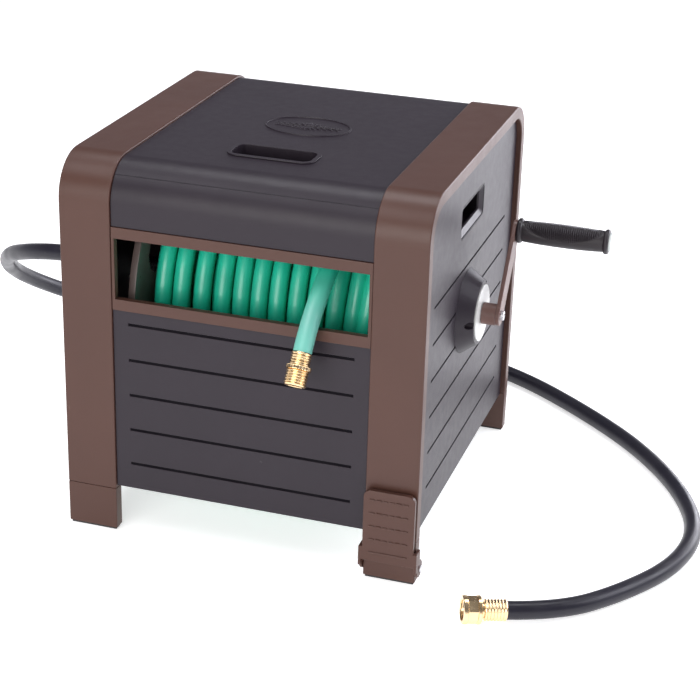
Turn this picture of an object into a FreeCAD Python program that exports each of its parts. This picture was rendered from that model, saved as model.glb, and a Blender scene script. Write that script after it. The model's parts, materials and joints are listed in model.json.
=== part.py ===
# Garden hose reel in a four-legged cabinet: a parametric FreeCAD document, in millimetres.
# X runs to the crank side, -Y is the front with the hose slot, +Z is up.
# The origin is the middle of the cabinet's footprint, on the ground.
import FreeCAD, Part
import math
import os
import re

import Sketcher
from FreeCAD import Placement, Rotation, Vector

doc = FreeCAD.newDocument("HoseReelCabinet")

# ---------------------------------------------------------------- driving dimensions
SIZES = {
    # cabinet
    "cabinet_width": 450,
    "cabinet_depth": 466,
    "cabinet_height": 478,
    "corner_radius": 52,
    "strip_width": 64.5,
    "band_thickness": 16,
    "frame_wall": 3,
    "panel_wall": 3,
    "seat_gap": 0.3,
    "running_gap": 0.5,
    # feet
    "foot_height": 58,
    "pad_height": 3,
    "pad_inset": 2,
    "spigot_length": 22,
    # side panels
    "side_recess": 7,
    "side_bottom": 56,
    "flange_depth": 22,
    "groove_width": 3.2,
    "groove_depth": 2.2,
    "side_groove_top": 333.5,
    "side_groove_pitch": 46.5,
    "side_groove_margin": 60,
    # hand-holds
    "hold_length": 112,
    "hold_height": 43,
    "hold_depth": 26,
    "hold_middle": 398,
    "hold_shift": -8,
    # front, rear and lid shell
    "shell_recess": 3,
    "front_bottom": 62,
    "slot_low": 311,
    "slot_high": 387,
    "rail_height": 14,
    "rail_depth": 9,
    "rail_recess": 1.5,
    "post_width": 4,
    "front_groove_top": 280,
    "front_groove_pitch": 46,
    "front_groove_margin": 19.5,
    "lip_depth": 12,
    "rib_height": 8,
    # base rails
    "rail_size": 25,
    "rail_wall": 3,
    "rail_middle": 192,
    # lid furniture
    "cup_length": 102,
    "cup_width": 42,
    "cup_depth": 14,
    "cup_rim": 4,
    "cup_middle": -116,
    "emblem_length": 110,
    "emblem_width": 78,
    "emblem_height": 0.8,
    "emblem_middle": 6,
    # lid hinge
    "knuckle_radius": 4.5,
    "knuckle_length": 16,
    "knuckle_place": 112,
    "hinge_pin_radius": 2,
    # axle and bearings
    "axle_y": -18,
    "axle_z": 272,
    "shaft_radius": 12,
    "running_fit": 0.05,
    "housing_base_radius": 54,
    "housing_top_radius": 40,
    "housing_height": 20,
    "housing_end_wall": 4,
    "bush_disc_radius": 35.5,
    "bush_disc_thickness": 3.5,
    "bush_disc_seat": 2,
    "bush_radius": 15,
    "housing_screw_circle": 42,
    # reel
    "drum_length": 292,
    "drum_radius": 92,
    "drum_wall": 3,
    "flange_radius": 182,
    "flange_thickness": 4,
    "flange_rim": 7,
    "flange_rim_width": 9,
    "window_radius": 24,
    "window_circle": 128,
    "flange_hub_radius": 26,
    "flange_hub_length": 8,
    # crank
    "crank_hub_radius": 13.5,
    "crank_hub_length": 18,
    "crank_radius": 111,
    "crank_angle": 53.4,
    "arm_width": 26,
    "arm_thickness": 5,
    "spindle_radius": 5,
    "grip_length": 114.5,
    "grip_radius": 14.2,
    "grip_end_radius": 15.8,
    "grip_end_length": 6,
    # foot step
    "step_pivot_y": -226,
    "step_pivot_z": 21,
    "step_width": 63,
    "step_low": 29,
    "step_top": 123,
    "step_thickness": 6.5,
    "step_stand_off": 3.5,
    "step_corner": 9,
    "ear_thickness": 3.6,
    "ear_radius": 11,
    "step_pin_radius": 3,
    "tread_length": 48,
    "tread_height": 2.2,
    "tread_rise": 1.2,
    "tread_pitch": 17.5,
    # hose and its fittings
    "hose_diameter": 22,
    "layer_rise": 19,
    "winding_start": -138,
    "winding_end": 144,
    "hose_bore": 15.8,
    "ferrule_radius": 13,
    "male_radius": 13.5,
    "male_length": 24,
    "female_radius": 12.9,
    "nut_radius": 17,
    "nut_length": 22,
}

sheet = doc.addObject("Spreadsheet::Sheet", "Sizes")
for row, (alias, number) in enumerate(SIZES.items(), start=1):
    sheet.set("A%d" % row, alias)
    sheet.set("B%d" % row, str(number))
    sheet.setAlias("B%d" % row, alias)
doc.recompute()


def size(alias):
    """The sheet's number for this alias."""
    return float(sheet.get(alias))


def formula(text):
    """An expression over the sheet: every alias gets the sheet's name in front."""
    def with_sheet(word):
        return "Sizes." + word.group(0) if word.group(0) in SIZES else word.group(0)
    return re.sub(r"[a-z][a-z_]*[a-z]", with_sheet, str(text))


def worked(text):
    """The number that a formula over the sheet comes to, from the document's expression engine."""
    value = sheet.evalExpression(formula(text))
    return float(getattr(value, "Value", value))


# ---------------------------------------------------------------- building blocks
AXES = {
    "x": Rotation(Vector(0, 1, 0), 90),
    "y": Rotation(Vector(1, 0, 0), -90),
    "z": Rotation(),
}
PLANES = {"xy": "XY_Plane", "xz": "XZ_Plane", "yz": "YZ_Plane"}
nodes = []


def place(item, at, turn=None):
    """Bind an object's position to formulas; turn is a fixed rotation."""
    if turn is not None:
        item.Placement = Placement(Vector(), turn)
    for letter, text in zip("xyz", at):
        item.setExpression("Placement.Base." + letter, formula(text))
    return item


def box(name, at, extent):
    """A box from its low corner."""
    item = doc.addObject("Part::Box", name)
    for prop, text in zip(("Length", "Width", "Height"), extent):
        item.setExpression(prop, formula(text))
    return place(item, at)


def middle_box(name, x_half, y, z):
    """A box centred on X = 0; y and z are (low, extent)."""
    return box(name, ("-(%s)" % x_half, y[0], z[0]), ("2*(%s)" % x_half, y[1], z[1]))


def rod(name, at, radius, length, axis="x"):
    """A cylinder that starts at a point and runs along +axis."""
    item = doc.addObject("Part::Cylinder", name)
    item.setExpression("Radius", formula(radius))
    item.setExpression("Height", formula(length))
    return place(item, at, AXES[axis])


def taper(name, at, radius_low, radius_high, length, axis="x"):
    """A cone's frustum that starts at a point and runs along +axis."""
    item = doc.addObject("Part::Cone", name)
    item.setExpression("Radius1", formula(radius_low))
    item.setExpression("Radius2", formula(radius_high))
    item.setExpression("Height", formula(length))
    return place(item, at, AXES[axis])


def ring(name, at, outer, inner, length, axis="x"):
    """A tube."""
    outside = rod(name + "_outer", at, outer, length, axis)
    return cut(name, outside, rod(name + "_inner", at, inner, length, axis))


def fuse(name, *items):
    item = doc.addObject("Part::MultiFuse", name)
    item.Shapes = list(items)
    return item


def common(name, *items):
    item = doc.addObject("Part::MultiCommon", name)
    item.Shapes = list(items)
    return item


def cut(name, base, *tools):
    item = doc.addObject("Part::Cut", name)
    item.Base = base
    item.Tool = tools[0] if len(tools) == 1 else fuse(name + "_tools", *tools)
    return item


def mirrored(name, source):
    """The same shape on the other side of the plane X = 0."""
    item = doc.addObject("Part::Mirroring", name)
    item.Source = source
    item.Normal = Vector(1, 0, 0)
    return item


def group(name, *items):
    """Separate solids that share one node."""
    item = doc.addObject("Part::Compound", name)
    item.Links = list(items)
    return item


def node(label, item):
    """Name a finished sub-part; its label is its file's name."""
    item.Label = label
    nodes.append(item)
    return item


def sketch_on(body, name, plane, offset):
    """A sketch on one of the body's own origin planes, moved along the plane's normal."""
    item = body.newObject("Sketcher::SketchObject", name)
    role = PLANES[plane]
    item.AttachmentSupport = [(f, "") for f in body.Origin.OriginFeatures if f.Role == role][:1]
    item.MapMode = "FlatFace"
    item.setExpression("AttachmentOffset.Base.z", formula(offset))
    return item


def constrain(item, kind, args, text=None, label=None):
    """Add one constraint, and bind it to a formula if it is a measured one."""
    if text is None:
        return item.addConstraint(Sketcher.Constraint(kind, *args))
    index = item.addConstraint(Sketcher.Constraint(kind, *args, worked(text)))
    item.renameConstraint(index, label)
    item.setExpression("Constraints." + label, formula(text))
    return index


def loop_of(item, pieces):
    """Add lines and arcs to a sketch, and close them into one loop, tangent where an arc meets a line."""
    ids = [item.addGeometry(piece, False) for piece in pieces]
    for this, after in zip(ids, ids[1:] + ids[:1]):
        smooth = "Arc" in type(item.Geometry[this]).__name__ or "Arc" in type(item.Geometry[after]).__name__
        constrain(item, "Tangent" if smooth else "Coincident", (this, 2, after, 1))
    return ids


def quarter(centre, radius, start):
    """A quarter of a circle, counter-clockwise from the start angle in degrees."""
    circle = Part.Circle(Vector(*centre, 0), Vector(0, 0, 1), radius)
    return Part.ArcOfCircle(circle, math.radians(start), math.radians(start + 90))


def line(a, b):
    return Part.LineSegment(Vector(*a, 0), Vector(*b, 0))


def pad(body, item, length, name):
    feature = body.newObject("PartDesign::Pad", name)
    feature.Profile = item
    feature.setExpression("Length", formula(length))
    item.Visibility = False
    body.Tip = feature
    return feature


def arch(name, start, width, depth, top, radius, bottom):
    """A slab across X whose outline is a rectangle with two round top corners, centred on Y = 0."""
    body = doc.addObject("PartDesign::Body", name)
    item = sketch_on(body, name + "_outline", "yz", start)
    d, t, r, b = (worked(v) for v in (depth, top, radius, bottom))
    ids = loop_of(item, [
        line((-d / 2, b), (d / 2, b)),
        line((d / 2, b), (d / 2, t - r)),
        quarter((d / 2 - r, t - r), r, 0),
        line((d / 2 - r, t), (-d / 2 + r, t)),
        quarter((-d / 2 + r, t - r), r, 90),
        line((-d / 2, t - r), (-d / 2, b)),
    ])
    constrain(item, "Vertical", (ids[1],))
    constrain(item, "Vertical", (ids[5],))
    constrain(item, "Horizontal", (ids[3],))
    constrain(item, "Symmetric", (ids[0], 1, ids[0], 2, -2))
    constrain(item, "Equal", (ids[2], ids[4]))
    constrain(item, "DistanceX", (ids[0], 1, ids[0], 2), depth, "depth")
    constrain(item, "Radius", (ids[2],), radius, "radius")
    constrain(item, "DistanceY", (-1, 1, ids[0], 1), bottom, "bottom")
    constrain(item, "DistanceY", (-1, 1, ids[3], 1), top, "top")
    pad(body, item, width, name + "_pad")
    return body


def rounded_slab(name, plane, offset, middle, extent, corner, thickness):
    """A plate with four round corners on an origin plane."""
    body = doc.addObject("PartDesign::Body", name)
    item = sketch_on(body, name + "_outline", plane, offset)
    u, v = (worked(value) for value in middle)
    w, h, r = worked(extent[0]) / 2, worked(extent[1]) / 2, worked(corner)
    ids = loop_of(item, [
        line((u - w + r, v - h), (u + w - r, v - h)),
        quarter((u + w - r, v - h + r), r, 270),
        line((u + w, v - h + r), (u + w, v + h - r)),
        quarter((u + w - r, v + h - r), r, 0),
        line((u + w - r, v + h), (u - w + r, v + h)),
        quarter((u - w + r, v + h - r), r, 90),
        line((u - w, v + h - r), (u - w, v - h + r)),
        quarter((u - w + r, v - h + r), r, 180),
    ])
    for flat in (ids[0], ids[4]):
        constrain(item, "Horizontal", (flat,))
    for upright in (ids[2], ids[6]):
        constrain(item, "Vertical", (upright,))
    for arc in ids[3::2]:
        constrain(item, "Equal", (ids[1], arc))
    constrain(item, "Radius", (ids[1],), corner, "corner")
    constrain(item, "DistanceX", (ids[6], 1, ids[2], 1), extent[0], "extent_u")
    constrain(item, "DistanceY", (ids[0], 1, ids[4], 1), extent[1], "extent_v")
    constrain(item, "DistanceX", (-1, 1, ids[2], 1), "(%s)+(%s)/2" % (middle[0], extent[0]), "far_u")
    constrain(item, "DistanceY", (-1, 1, ids[4], 1), "(%s)+(%s)/2" % (middle[1], extent[1]), "far_v")
    pad(body, item, thickness, name + "_pad")
    return body


# ---------------------------------------------------------------- places worked out from the sheet
INNER_X = "(cabinet_width/2-strip_width)"
SHELL_X = "(cabinet_width/2-strip_width-seat_gap)"
PANEL_X = "(cabinet_width/2-side_recess)"
BAND_Y = "(cabinet_depth/2-band_thickness)"
FACE_Y = "(cabinet_depth/2-shell_recess)"
ARC_Y = "(cabinet_depth/2-corner_radius)"
ARC_Z = "(cabinet_height-corner_radius)"
SHELL_RADIUS = "(corner_radius-shell_recess)"
HINGE_Y = "(%s+%s*cos(45))" % (ARC_Y, SHELL_RADIUS)
HINGE_Z = "(%s+%s*sin(45))" % (ARC_Z, SHELL_RADIUS)
HOUSING_X = "(%s+housing_height)" % PANEL_X
HUB_X = "(%s+bush_disc_thickness-bush_disc_seat+running_gap)" % HOUSING_X
ARM_X = "(%s+crank_hub_length)" % HUB_X
GRIP_X = "(%s+arm_thickness+running_gap)" % ARM_X
AXLE = ("axle_y", "axle_z")
CRANK_END = ("axle_y+crank_radius*cos(crank_angle)", "axle_z+crank_radius*sin(crank_angle)")
PAST = 1  # how far a cutting tool runs past the face it cuts


def around(circle, angle, centre=AXLE):
    """The Y and Z formulas of a point on a circle about the axle."""
    return ("%s+%s*cos(%s)" % (centre[0], circle, angle), "%s+%s*sin(%s)" % (centre[1], circle, angle))


def shell_arch(name, grow):
    """A slab the size of the middle shell's outside, or its inside where grow is -panel_wall."""
    return arch(name, "-" + SHELL_X, "2*" + SHELL_X, "2*%s+2*(%s)" % (FACE_Y, grow),
                "cabinet_height-shell_recess+(%s)" % grow, "%s+(%s)" % (SHELL_RADIUS, grow),
                "front_bottom-%s" % PAST)


# ---------------------------------------------------------------- side frames
def side_frame():
    """One inverted U of hollow section with open leg ends."""
    outer = arch("frame_outer", INNER_X, "strip_width", "cabinet_depth", "cabinet_height", "corner_radius",
                 "foot_height")
    inner = arch("frame_inner", "%s-%s" % (INNER_X, PAST), "strip_width+2*%s" % PAST, "2*" + BAND_Y,
                 "cabinet_height-band_thickness", "corner_radius-band_thickness", "foot_height-%s" % PAST)
    hollow = "strip_width-2*frame_wall"
    hollow_outer = arch("channel_outer", INNER_X + "+frame_wall", hollow, "cabinet_depth-2*frame_wall",
                        "cabinet_height-frame_wall", "corner_radius-frame_wall", "foot_height-%s" % PAST)
    hollow_inner = arch("channel_inner", INNER_X, "strip_width", "2*%s+2*frame_wall" % BAND_Y,
                        "cabinet_height-band_thickness+frame_wall",
                        "corner_radius-band_thickness+frame_wall", "foot_height-2*%s" % PAST)
    channel = cut("channel", hollow_outer, hollow_inner)
    return cut("side_frame_right", outer, inner, channel, *[frame_screw_shank(i) for i in range(4)])


SCREW_HEIGHTS = (150, 350)
SCREW_SHANK = 2
SCREW_HEAD = 4
SCREW_HEAD_THICKNESS = 2.5


def frame_screw_at(index):
    """Start point and axis sign of one of the four screws that hold a side panel in its frame."""
    sign = 1 if index % 2 else -1
    return sign, SCREW_HEIGHTS[index // 2]


def frame_screw_shank(index):
    """The shank's cylinder, from the panel's flange into the frame's inner wall."""
    sign, height = frame_screw_at(index)
    length = "panel_wall+seat_gap+frame_wall+3"
    seat = "(%s-seat_gap-panel_wall)" % BAND_Y
    start = seat if sign > 0 else "-%s-(%s)" % (seat, length)
    return rod("frame_screw_shank", (PANEL_X + "-panel_wall-flange_depth/2", start, height), SCREW_SHANK,
               length, "y")


def frame_screw(index):
    sign, height = frame_screw_at(index)
    seat = "(%s-seat_gap-panel_wall)" % BAND_Y
    start = "%s-%s" % (seat, SCREW_HEAD_THICKNESS) if sign > 0 else "-" + seat
    head = rod("frame_screw_head", (PANEL_X + "-panel_wall-flange_depth/2", start, height), SCREW_HEAD,
               SCREW_HEAD_THICKNESS, "y")
    return fuse("frame_screw", head, frame_screw_shank(index))


right_frame = node("right_side_frame", side_frame())
left_frame = node("left_side_frame", mirrored("side_frame_left", right_frame))

right_screws = [frame_screw(i) for i in range(4)]
left_screws = [mirrored("frame_screw_left", s) for s in right_screws]
node("frame_screws", group("frame_screw_group", *right_screws, *left_screws))


# ---------------------------------------------------------------- feet
def foot(name, front, holes=()):
    """A foot block with a spigot that goes up into the leg's hollow; it stands on a rubber pad."""
    low_y = "-cabinet_depth/2" if front else BAND_Y
    block = box(name + "_block", (INNER_X, low_y, "pad_height"),
                ("strip_width", "band_thickness", "foot_height-pad_height"))
    inset = "(frame_wall+seat_gap)"
    spigot = box(name + "_spigot", ("%s+%s" % (INNER_X, inset), "%s+%s" % (low_y, inset), "foot_height"),
                 ("strip_width-2*" + inset, "band_thickness-2*" + inset, "spigot_length"))
    body = fuse(name + "_body", block, spigot)
    return cut(name, body, *holes) if holes else body


def foot_pad(name, front):
    low_y = "-cabinet_depth/2+pad_inset" if front else BAND_Y + "+pad_inset"
    return box(name, (INNER_X + "+pad_inset", low_y, 0),
               ("strip_width-2*pad_inset", "band_thickness-2*pad_inset", "pad_height"))


STEP_MIDDLE = "(cabinet_width/2-strip_width/2)"
EAR_X = "(strip_width/2+seat_gap)"
PIN_HEAD = 1.5
PIN_HEAD_RADIUS = 4.5
pin_hole = rod("step_pin_hole", (INNER_X + "-%s" % PAST, "step_pivot_y", "step_pivot_z"), "step_pin_radius",
               "strip_width+2*%s" % PAST)
plain_front = foot("foot_front", True)
plain_rear = foot("foot_rear", False)
node("front_right_foot", foot("foot_front_right", True, [pin_hole]))
node("front_left_foot", mirrored("foot_front_left", plain_front))
node("rear_right_foot", plain_rear)
node("rear_left_foot", mirrored("foot_rear_left", plain_rear))
pads = [foot_pad("pad_front", True), foot_pad("pad_rear", False)]
node("foot_pads", group("foot_pad_group", *pads, *[mirrored("pad_left", p) for p in pads]))


# ---------------------------------------------------------------- side panels
HOLD = (("hold_shift", "hold_middle"), ("hold_length", "hold_height"), 9)


def side_panel():
    """A dished panel with a flange all round, six long grooves, a hand-hold tub and an axle hole."""
    inside = "2*(%s-seat_gap)" % BAND_Y
    top = "cabinet_height-band_thickness-seat_gap"
    radius = "corner_radius-band_thickness-seat_gap"
    tray = arch("panel_tray", PANEL_X + "-panel_wall-flange_depth", "panel_wall+flange_depth", inside, top,
                radius,
                "side_bottom")
    dish = arch("panel_dish", PANEL_X + "-panel_wall-flange_depth-%s" % PAST, "flange_depth+%s" % PAST,
                inside + "-2*panel_wall", top + "-panel_wall", radius + "-panel_wall",
                "side_bottom+panel_wall")
    tub = rounded_slab("tub", "yz", PANEL_X + "-hold_depth-panel_wall", HOLD[0],
                       ("hold_length+2*panel_wall", "hold_height+2*panel_wall"), "%s+panel_wall" % HOLD[2],
                       "hold_depth+panel_wall")
    tub_hollow = rounded_slab("tub_hollow", "yz", PANEL_X + "-hold_depth", HOLD[0], HOLD[1], HOLD[2],
                              "hold_depth+%s" % PAST)
    groove_half = "(cabinet_depth/2-side_groove_margin)"
    grooves = [
        box("side_groove", (PANEL_X + "-groove_depth", "-" + groove_half,
                            "side_groove_top-%d*side_groove_pitch-groove_width/2" % i),
            ("groove_depth+%s" % PAST, "2*" + groove_half, "groove_width"))
        for i in range(6)
    ]
    axle_hole = rod("panel_axle_hole", (PANEL_X + "-panel_wall-%s" % PAST, *AXLE), "bush_radius+4",
                    "panel_wall+2*%s" % PAST)
    holes = [rod("panel_screw_hole", (PANEL_X + "-panel_wall-%s" % PAST, *around("housing_screw_circle", a)),
                 HOUSING_SHANK, "panel_wall+2*%s" % PAST) for a in HOUSING_SCREWS]
    shell = cut("panel_shell", tray, dish)
    body = fuse("panel_with_tub", shell, tub)
    return cut("panel_right", body, tub_hollow, axle_hole, *grooves, *holes,
               *[frame_screw_shank(i) for i in range(4)])


HOUSING_SCREWS = (183, 303, 63)
HOUSING_SHANK = 2
HOUSING_SCREW_HEAD = 4
HOUSING_SCREW_SEAT = 6
HOUSING_POST = 6.5

right_panel = node("right_side_panel", side_panel())
left_panel = node("left_side_panel", mirrored("panel_left", right_panel))


# ---------------------------------------------------------------- front, rear, fascia and lid
def shell_between(name, low_z, high_z, front):
    """The part of the middle shell between two heights, at the front or the rear."""
    skin = cut(name + "_skin", shell_arch(name + "_outside", "0"),
               shell_arch(name + "_inside", "-panel_wall"))
    depth = "%s+%s" % (FACE_Y, PAST)
    start = "-(%s)" % depth if front else "0"
    height = "(%s)-(%s)" % (high_z, low_z)
    region = middle_box(name + "_region", SHELL_X + "+%s" % PAST, (start, depth), (low_z, height))
    return common(name, skin, region)


def lip(name, z, front):
    """A stiffening lip along a panel's edge, running inward."""
    start = "-%s" % FACE_Y if front else "%s-lip_depth" % FACE_Y
    return middle_box(name, SHELL_X, (start, "lip_depth"), (z, "panel_wall"))


FRONT_TOP = "(slot_low-rail_height-seat_gap)"
FASCIA_LOW = "(slot_high+rail_height+seat_gap)"

front_grooves = [
    middle_box("front_groove", SHELL_X + "-front_groove_margin",
               ("-%s-%s" % (FACE_Y, PAST), "groove_depth+%s" % PAST),
               ("front_groove_top-%d*front_groove_pitch-groove_width/2" % i, "groove_width"))
    for i in range(5)
]
front_body = fuse("front_body", shell_between("front_shell", "front_bottom", FRONT_TOP, True),
                  lip("front_lip_low", "front_bottom", True),
                   lip("front_lip_high", FRONT_TOP + "-panel_wall", True))
node("front_panel", cut("front_cut", front_body, *front_grooves))

fascia_shell = shell_between("fascia_shell", FASCIA_LOW, HINGE_Z + "-seat_gap", True)
node("front_fascia", fuse("fascia", fascia_shell, lip("fascia_lip", FASCIA_LOW, True)))

frame_front = "-(cabinet_depth/2-rail_recess)"
slot_block = middle_box("slot_block", SHELL_X, (frame_front, "rail_depth"),
                        ("slot_low-rail_height", "slot_high-slot_low+2*rail_height"))
slot_hole = middle_box("slot_hole", SHELL_X + "-post_width",
                       ("%s-%s" % (frame_front, PAST), "rail_depth+2*%s" % PAST),
                       ("slot_low", "slot_high-slot_low"))
node("slot_frame", cut("slot_surround", slot_block, slot_hole))


# ---------------------------------------------------------------- lid hinge
def knuckle(name, side, place_index):
    """One barrel of the hinge: 0 belongs to the lid, -1 and 1 to the rear panel."""
    shift = "%d*(knuckle_length+seat_gap)" % place_index
    start = "%d*knuckle_place-knuckle_length/2+%s" % (side, shift)
    return rod(name, (start, HINGE_Y, HINGE_Z), "knuckle_radius", "knuckle_length")


def knuckle_room(name, side, place_index):
    """The clearance that the other leaf leaves round a barrel."""
    start = "%d*knuckle_place-knuckle_length/2+%d*(knuckle_length+seat_gap)-seat_gap" % (side, place_index)
    return rod(name, (start, HINGE_Y, HINGE_Z), "knuckle_radius+running_gap", "knuckle_length+2*seat_gap")


def hinge_bores(name):
    """The pins' holes, through all barrels."""
    return [rod(name, ("%d*knuckle_place-2*knuckle_length" % s, HINGE_Y, HINGE_Z),
                "hinge_pin_radius+running_fit",
                "4*knuckle_length") for s in (-1, 1)]


rear_shell = shell_between("rear_shell", "front_bottom", HINGE_Z + "-seat_gap", False)
rear_rooms = [knuckle_room("rear_room", s, 0) for s in (-1, 1)]
rear_barrels = [knuckle("rear_barrel", s, k) for s in (-1, 1) for k in (-1, 1)]
rear_body = fuse("rear_with_barrels", cut("rear_relieved", rear_shell, *rear_rooms), *rear_barrels,
                 lip("rear_lip_low", "front_bottom", False))
node("rear_panel", cut("rear_bored", rear_body, *hinge_bores("rear_bore")))

pin_length = "3*knuckle_length+2*seat_gap+4"
node("hinge_pins", group("hinge_pin_pair", *[
    rod("hinge_pin", ("%d*knuckle_place-(%s)/2" % (s, pin_length), HINGE_Y, HINGE_Z),
        "hinge_pin_radius", pin_length)
    for s in (-1, 1)
]))

LID_TOP = "(cabinet_height-shell_recess)"
CUP = (("0", "cup_middle"), ("cup_length", "cup_width"), 12)
lid_skin = cut("lid_skin", shell_arch("lid_outside", "0"), shell_arch("lid_inside", "-panel_wall"))
lid_region = middle_box("lid_region", SHELL_X + "+%s" % PAST, ("-cabinet_depth/2", "cabinet_depth"),
                        (HINGE_Z, "cabinet_height-%s" % HINGE_Z))
lid_shell = common("lid_shell", lid_skin, lid_region)
lid_ribs = [
    middle_box("lid_rib", SHELL_X, ("%s-panel_wall/2" % y, "panel_wall"),
               (LID_TOP + "-panel_wall-rib_height", "rib_height+%s" % PAST))
    for y in ("-%s+12" % ARC_Y, "0", "%s-12" % ARC_Y)
]
lid_rooms = [knuckle_room("lid_room", s, k) for s in (-1, 1) for k in (-1, 1)]
lid_barrels = [knuckle("lid_barrel", s, 0) for s in (-1, 1)]
cup_hole = rounded_slab("cup_hole", "xy", LID_TOP + "-panel_wall-%s" % PAST, CUP[0],
                        ("cup_length+2*seat_gap", "cup_width+2*seat_gap"), CUP[2], "panel_wall+2*%s" % PAST)
lid_body = fuse("lid_body", cut("lid_relieved", lid_shell, *lid_rooms), *lid_barrels, *lid_ribs)
node("lid_panel", cut("lid_bored", lid_body, cup_hole, *hinge_bores("lid_bore")))

# the finger cup that drops into the lid, with a rim on top
cup_wall = "panel_wall/2"
cup_outside = rounded_slab("cup_outside", "xy", LID_TOP + "-cup_depth", *CUP, "cup_depth+seat_gap")
cup_rim = rounded_slab("cup_rim", "xy", LID_TOP, CUP[0], ("cup_length+2*cup_rim", "cup_width+2*cup_rim"),
                       "%s+cup_rim" % CUP[2], 2)
cup_inside = rounded_slab("cup_inside", "xy", LID_TOP + "-cup_depth+" + cup_wall, CUP[0],
                          ("cup_length-2*" + cup_wall, "cup_width-2*" + cup_wall),
                          "%s-%s" % (CUP[2], cup_wall),
                          "cup_depth+2+%s" % PAST)
node("lid_grip_cup", cut("cup", fuse("cup_solid", cup_outside, cup_rim), cup_inside))


def oval(name, length, width, start, height):
    """An elliptical disc on the lid."""
    item = doc.addObject("Part::Ellipse", name + "_outline")
    item.setExpression("MajorRadius", formula("(%s)/2" % length))
    item.setExpression("MinorRadius", formula("(%s)/2" % width))
    place(item, ("0", "emblem_middle", start))
    solid = doc.addObject("Part::Extrusion", name)
    solid.Base = item
    solid.DirMode = "Custom"
    solid.Dir = Vector(0, 0, 1)
    solid.setExpression("LengthFwd", formula(height))
    solid.Solid = True
    return solid


def leaf(name, angle):
    """A plain leaf for the badge: the overlap of two upright discs, lying flat on the plaque."""
    radius, offset = 30, 24
    turn = math.radians(angle)
    middle = (12 * math.cos(turn), 12 * math.sin(turn))
    discs = [
        rod(name + "_disc", (middle[0] - s * offset * math.sin(turn),
                             "emblem_middle+(%s)" % (middle[1] + s * offset * math.cos(turn)), LID_TOP),
            radius, "emblem_height+0.5", "z")
        for s in (-1, 1)
    ]
    return common(name, *discs)


plaque = oval("plaque", "emblem_length", "emblem_width", LID_TOP, "emblem_height+0.5")
plaque_field = oval("plaque_field", "emblem_length-6", "emblem_width-6", LID_TOP + "+emblem_height", PAST)
badge = fuse("badge", cut("badge_rim", plaque, plaque_field), leaf("leaf_left", 160), leaf("leaf_right", 20))
node("lid_badge", badge)


# ---------------------------------------------------------------- base rails between the side panels
def base_rail(name, y):
    half = PANEL_X + "-panel_wall"
    low = ("%s-rail_size/2" % y, "rail_size"), ("side_bottom+panel_wall+seat_gap", "rail_size")
    solid = middle_box(name + "_solid", half, *low)
    hollow = middle_box(name + "_hollow", half + "+%s" % PAST,
                        ("%s-rail_size/2+rail_wall" % y, "rail_size-2*rail_wall"),
                        ("side_bottom+panel_wall+seat_gap+rail_wall", "rail_size-2*rail_wall"))
    return cut(name, solid, hollow)


node("front_base_rail", base_rail("rail_front", "-rail_middle"))
node("rear_base_rail", base_rail("rail_rear", "rail_middle"))


# ---------------------------------------------------------------- axle housings, bushes and screws
def bearing_housing():
    """A hollow cone with an end wall, a tube that holds the bush, and three recessed screw posts."""
    cone = taper("housing_cone", (PANEL_X, *AXLE), "housing_base_radius", "housing_top_radius",
                 "housing_height")
    hollow_depth = "housing_height-housing_end_wall"
    slope = "(housing_base_radius-housing_top_radius)/housing_height"
    hollow = taper("housing_hollow", (PANEL_X, *AXLE), "housing_base_radius-panel_wall",
                   "housing_base_radius-panel_wall-%s*(%s)" % (slope, hollow_depth), hollow_depth)
    shell = cut("housing_shell", cone, hollow)
    tube = rod("housing_tube", (PANEL_X, *AXLE), "bush_radius+panel_wall", "housing_height-bush_disc_seat")
    posts = [rod("housing_post", (PANEL_X, *around("housing_screw_circle", a)), HOUSING_POST,
                 "housing_height")
             for a in HOUSING_SCREWS]
    cone_again = taper("housing_limit", (PANEL_X, *AXLE), "housing_base_radius", "housing_top_radius",
                       "housing_height")
    trimmed = common("housing_trimmed", fuse("housing_inside", tube, *posts), cone_again)
    seat = rod("housing_seat", (HOUSING_X + "-bush_disc_seat", *AXLE), "bush_disc_radius+seat_gap",
               "housing_height")
    bore = rod("housing_bore", (PANEL_X + "-%s" % PAST, *AXLE), "bush_radius", "housing_height+2*%s" % PAST)
    wells = [rod("housing_well", (PANEL_X + "+%s" % HOUSING_SCREW_SEAT, *around("housing_screw_circle", a)),
                 HOUSING_SCREW_HEAD + 0.6, "housing_height") for a in HOUSING_SCREWS]
    shanks = [housing_shank(a) for a in HOUSING_SCREWS]
    return cut("housing_right", fuse("housing_body", shell, trimmed), seat, bore, *wells, *shanks)


def housing_shank(angle):
    start = "%s-panel_wall-4" % PANEL_X
    return rod("housing_shank", (start, *around("housing_screw_circle", angle)), HOUSING_SHANK,
               "panel_wall+4+%s" % HOUSING_SCREW_SEAT)


def housing_screw(angle):
    head = rod("housing_screw_head",
               (PANEL_X + "+%s" % HOUSING_SCREW_SEAT, *around("housing_screw_circle", angle)),
               HOUSING_SCREW_HEAD, 3)
    cross = [box("housing_screw_slot", (PANEL_X + "+%s" % (HOUSING_SCREW_SEAT + 2),
                                        around("housing_screw_circle", angle)[0] + "-%s" % (w / 2),
                                        around("housing_screw_circle", angle)[1] + "-%s" % (d / 2)),
                                        (2, w, d))
             for w, d in ((5, 1.2), (1.2, 5))]
    return cut("housing_screw", fuse("housing_screw_solid", head, housing_shank(angle)), *cross)


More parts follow.
